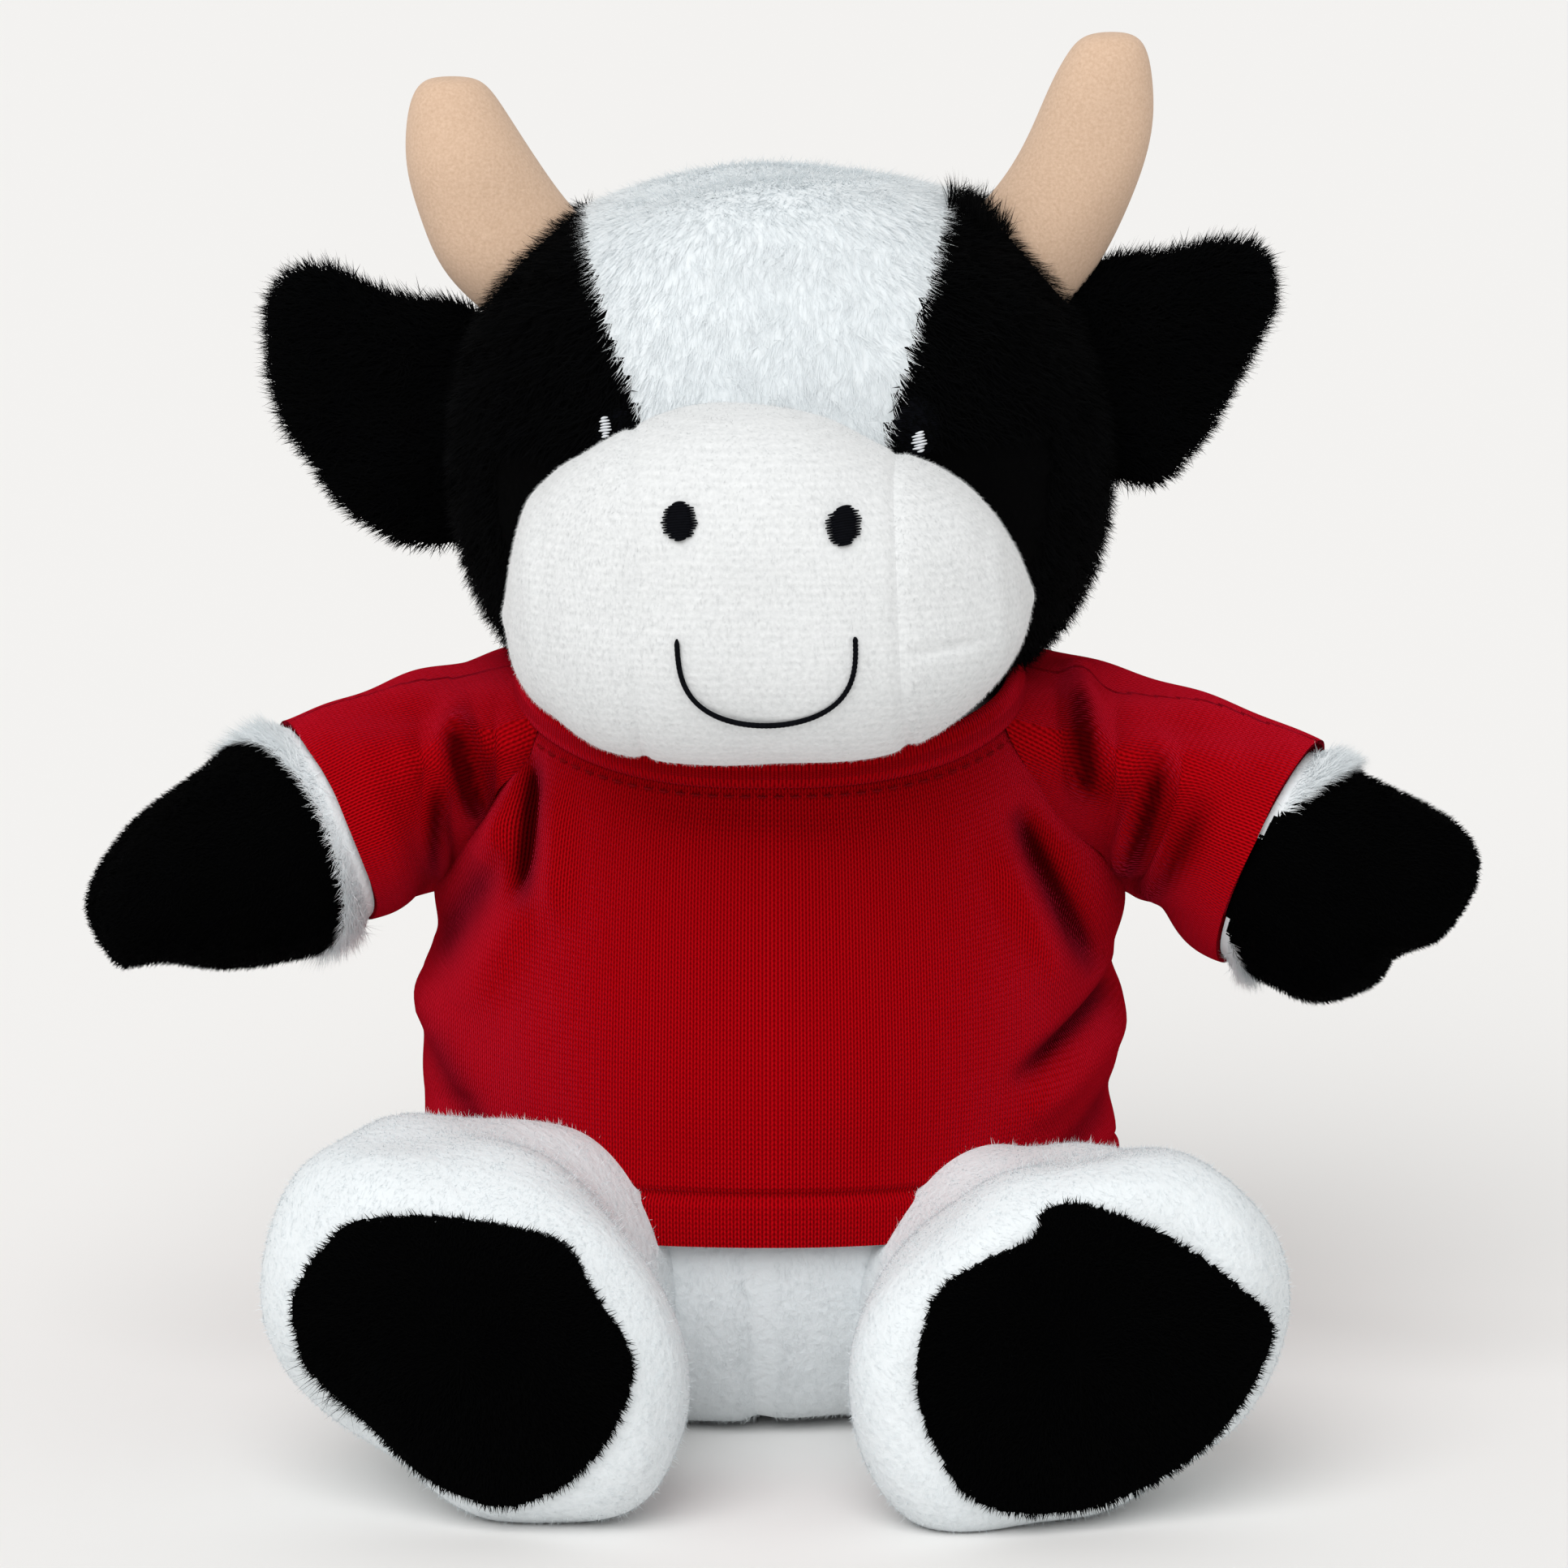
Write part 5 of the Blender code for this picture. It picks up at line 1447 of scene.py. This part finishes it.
def make_muzzle():
    skin = muzzle_skin()
    across = lambda p: head_frame_of(p)[..., 0]
    panels = {
        "muzzle_centre": lambda p: np.abs(across(p)) <= MUZZLE_SEAM,
        "muzzle_cheek_left": lambda p: across(p) < -MUZZLE_SEAM,
        "muzzle_cheek_right": lambda p: across(p) > MUZZLE_SEAM,
    }
    down = toward(*(HEAD_TURN @ np.array((0.0, -0.2, -1.0))))
    for k, (name, inside) in enumerate(panels.items()):
        shown = lambda p: inside(p) & (head_frame_of(p)[..., 1] < -34 * MM)
        coat = strands(skin, *MUZZLE_COAT, down, shown, 30 + k)
        panel = kept_grid(skin, (260, 240), inside)
        pile_panel(name, panel, [coat], "head", WHITE_NAP, NAP_BACKING)
    for side in SIDES:
        for name, front, centres, half_width, half_height, pitch, seed, *laid in STITCHED:
            starts, ends = satin(centres[side], half_width, half_height, pitch, OUTWARD[side] + seed)
            sewn(f"{name}_{side}", front, starts, ends, *laid)
    angle = math.pi * np.linspace(0, 1, LINE_SAMPLES)
    path = np.stack([-12.4 * np.cos(angle), 22.4 - 12.8 * np.sin(angle) ** 0.62], -1)
    steps = np.concatenate([[0], np.cumsum(np.linalg.norm(np.diff(path, axis=0), axis=1))])
    at = lambda s: np.stack([np.interp(s, steps, path[:, k]) for k in (0, 1)], -1)
    first = np.arange(0, steps[-1] - 1.2, 0.62)
    sewn(
        "smile", front_of_muzzle, at(first) + (0, 0.2), at(first + 1.5) - (0, 0.2), 0.4, 0.15, 0.35,
        DARK_THREAD,
    )


# Horns and ears


HORN = {
    # base (across, y, up), lean in degrees, length, rows of (along, radius)
    "left": (
        (35.6, 4.0, 67.7), 47, 92, 32.0,
        ((-9, 9.6), (0, 10.4), (9, 10.4), (17, 9.4), (24, 8.0), (29.5, 6.0), (31.5, 3.6)),
    ),
    "right": (
        (37.6, 4.0, 66.6), 47, 86, 35.5,
        ((-9, 9.4), (0, 9.6), (10, 9.2), (19, 8.9), (27, 8.0), (33, 6.0), (35.5, 3.8)),
    ),
}


def make_horn(side):
    """A soft form with round rings, bent upward into an arc."""
    out = OUTWARD[side]
    base, low, high, length, rows = HORN[side]
    bend = arched(math.radians(low), math.radians(high), length * MM)
    place = HEAD_TURN @ (np.array(base) * MM * (out, 1, 1)) + NECK
    turn = HEAD_TURN @ along_axes((out, 0, 0))
    form = soft_form([(s, 0, 0.92 * r, r) for s, r in rows], place, turn, bend=bend)
    skin = pushed(form, lambda p: 0.25 * MM * waver(p, 14 * MM, 50 + out))
    replaced = (f"horn_{side}", f"horn_stuffing_{side}")
    padded_piece(f"horn_{side}", skin, (96, 96), "head", TAN_VELBOA, replaced)


EAR_ROWS = {
    # across, middle height, half thickness, half height, all in the head frame
    "left": (
        (42.0, 46.0, 3.2, 14.0), (46.0, 45.0, 3.6, 17.0), (50.5, 44.3, 3.7, 18.4), (56.5, 45.4, 3.7, 18.2),
        (62.5, 48.2, 3.6, 18.2), (67.5, 51.6, 3.4, 16.6), (72.0, 55.2, 3.0, 12.6), (75.0, 57.0, 2.4, 7.0),
    ),
    "right": (
        (42.0, 48.5, 3.2, 13.0), (46.5, 48.5, 3.6, 15.4), (51.5, 48.3, 3.7, 16.4), (57.5, 48.6, 3.7, 16.4),
        (62.5, 51.6, 3.5, 14.4), (66.5, 55.4, 3.2, 11.2), (70.3, 59.2, 2.8, 7.2), (72.8, 61.2, 2.2, 3.8),
    ),
}


EAR_PLANE = 5.0  # how far behind the neck's middle the ears stand, where their panels meet
EAR_SHOWN = 44 * MM  # pile grows on an ear from here outward
EAR_TIP_FROM = 80 * MM


def make_ear(side):
    """A thin soft form outward from the head, with its front dished."""
    out = OUTWARD[side]
    turn = HEAD_TURN @ along_axes((out, 0, 0))
    place = HEAD_TURN @ np.array((0, EAR_PLANE, 0)) * MM + NECK
    form = soft_form(EAR_ROWS[side], place, turn)

    def dish(places):
        """A bell-shaped hollow along the middle of the front, fading toward the root and the tip."""
        here = head_frame_of(places) / MM
        front = here[..., 1] < EAR_PLANE
        x, z = here[..., 0] * out, here[..., 2]
        fold = bell(z - 47 - 0.35 * (x - 55), 6)
        fold = fold * step_between(x, 44, 52) * step_between(-x, -74, -62)
        return -1.4 * MM * fold * front + 0.4 * MM * waver(places, 14 * MM, 55 + out)

    skin = pushed(form, dish)
    flow = toward(*(HEAD_TURN @ np.array((out * 1.0, 0.0, 0.15))))
    front = lambda p: head_frame_of(p)[..., 1] < EAR_PLANE * MM
    panels = {"front": front, "back": lambda p: ~front(p)}
    for k, (name, inside) in enumerate(panels.items()):
        shown = lambda p: inside(p) & (np.abs(head_frame_of(p)[..., 0]) > EAR_SHOWN)
        tip = lambda p: shown(p) & (head_frame_of(p) @ (0.7 * out, 0, 0.7) > EAR_TIP_FROM)
        coats = [
            strands(skin, *EAR_COAT, flow, shown, 80 + 2 * out + k),
            strands(skin, *EAR_TIP_COAT, flow, tip, 180 + 2 * out + k),
        ]
        panel = kept_grid(skin, (96, 96), inside)
        pile_panel(f"ear_{name}_{side}", panel, coats, f"ear_{side}", BLACK_PILE)


# Tail


TAIL_ROWS = (
    (-4, 0, 3.6, 3.6), (5, 0, 3.6, 3.6), (15, 0, 3.5, 3.5),
    (24, 0, 4.2, 4.2), (35, 0, 6.0, 6.0), (46, 0, 2.8, 2.8),
)
TAIL_ROOT = np.array((0, 40.5, 23.5)) * MM
TAIL_LENGTH = 46 * MM
TUFT_START = 22 * MM  # how far behind its root the tail turns black


def make_tail():
    """A soft form with round rings, bent from a slope down to level. Its end is the black tuft."""
    form = soft_form(
        TAIL_ROWS, TAIL_ROOT, along_axes((0, 1, 0)), bend=arched(math.radians(-52), 0.0, TAIL_LENGTH)
    )
    tuft = lambda p: p[..., 1] >= TAIL_ROOT[1] + TUFT_START
    cord = lambda p: ~tuft(p)
    coat = strands(form, *TAIL_COAT, toward(0, 1, -0.5), cord, 90)
    pile_panel("tail_cord", kept_grid(form, (48, 80), cord), [coat], "tail", WHITE_PILE)
    coat = strands(form, *TUFT_COAT, toward(0, 1, -0.3), tuft, 91)
    pile_panel("tail_tuft", kept_grid(form, (48, 80), tuft), [coat], "tail", BLACK_PILE)


# Floor, light and camera


def make_stage():
    """A pale floor, one broad lamp and an even sky, which the camera sees a little brighter."""
    material, tree, shader = finish_nodes("floor", 0.9, specular=0.05)
    shader.inputs["Base Color"].default_value = FLOOR_COLOUR
    bpy.ops.mesh.primitive_plane_add(size=FLOOR_SIZE)
    floor = bpy.context.object
    floor.name = "floor"
    floor.data.materials.append(material)
    lamp = bpy.data.lights.new("key", "SUN")
    lamp.energy = KEY_STRENGTH
    lamp.angle = KEY_SPREAD
    key = bpy.data.objects.new("key", lamp)
    bpy.context.scene.collection.objects.link(key)
    key.location = KEY_PLACE
    key.rotation_euler = key.location.to_track_quat("Z", "Y").to_euler()
    world = bpy.data.worlds.new("soft_light")
    bpy.context.scene.world = world
    world.use_nodes = True
    tree = world.node_tree
    sky = tree.nodes["Background"]
    sky.inputs["Color"].default_value = SKY_COLOUR
    seen = add_node(tree, "ShaderNodeLightPath").outputs["Is Camera Ray"]
    extra = maths(tree, "MULTIPLY", seen, BACKDROP_STRENGTH - SKY_STRENGTH)
    link(tree, maths(tree, "ADD", extra, SKY_STRENGTH), sky.inputs["Strength"])
    bpy.context.scene.view_settings.view_transform = "Standard"


def make_camera():
    lens = bpy.data.cameras.new("camera")
    lens.lens = CAMERA_LENS
    lens.sensor_width = SENSOR_WIDTH
    camera = bpy.data.objects.new("camera", lens)
    bpy.context.scene.collection.objects.link(camera)
    back = Vector((0, -math.cos(CAMERA_ELEVATION), math.sin(CAMERA_ELEVATION)))
    camera.location = Vector(CAMERA_TARGET) + CAMERA_DISTANCE * back
    camera.rotation_euler = back.to_track_quat("Z", "Y").to_euler()
    bpy.context.scene.camera = camera


make_torso()
make_shirt()
make_head()
make_muzzle()
for side in SIDES:
    make_sleeve(side)
    make_arm(side)
    make_leg(side)
    make_horn(side)
    make_ear(side)
make_tail()
make_stage()
make_camera()
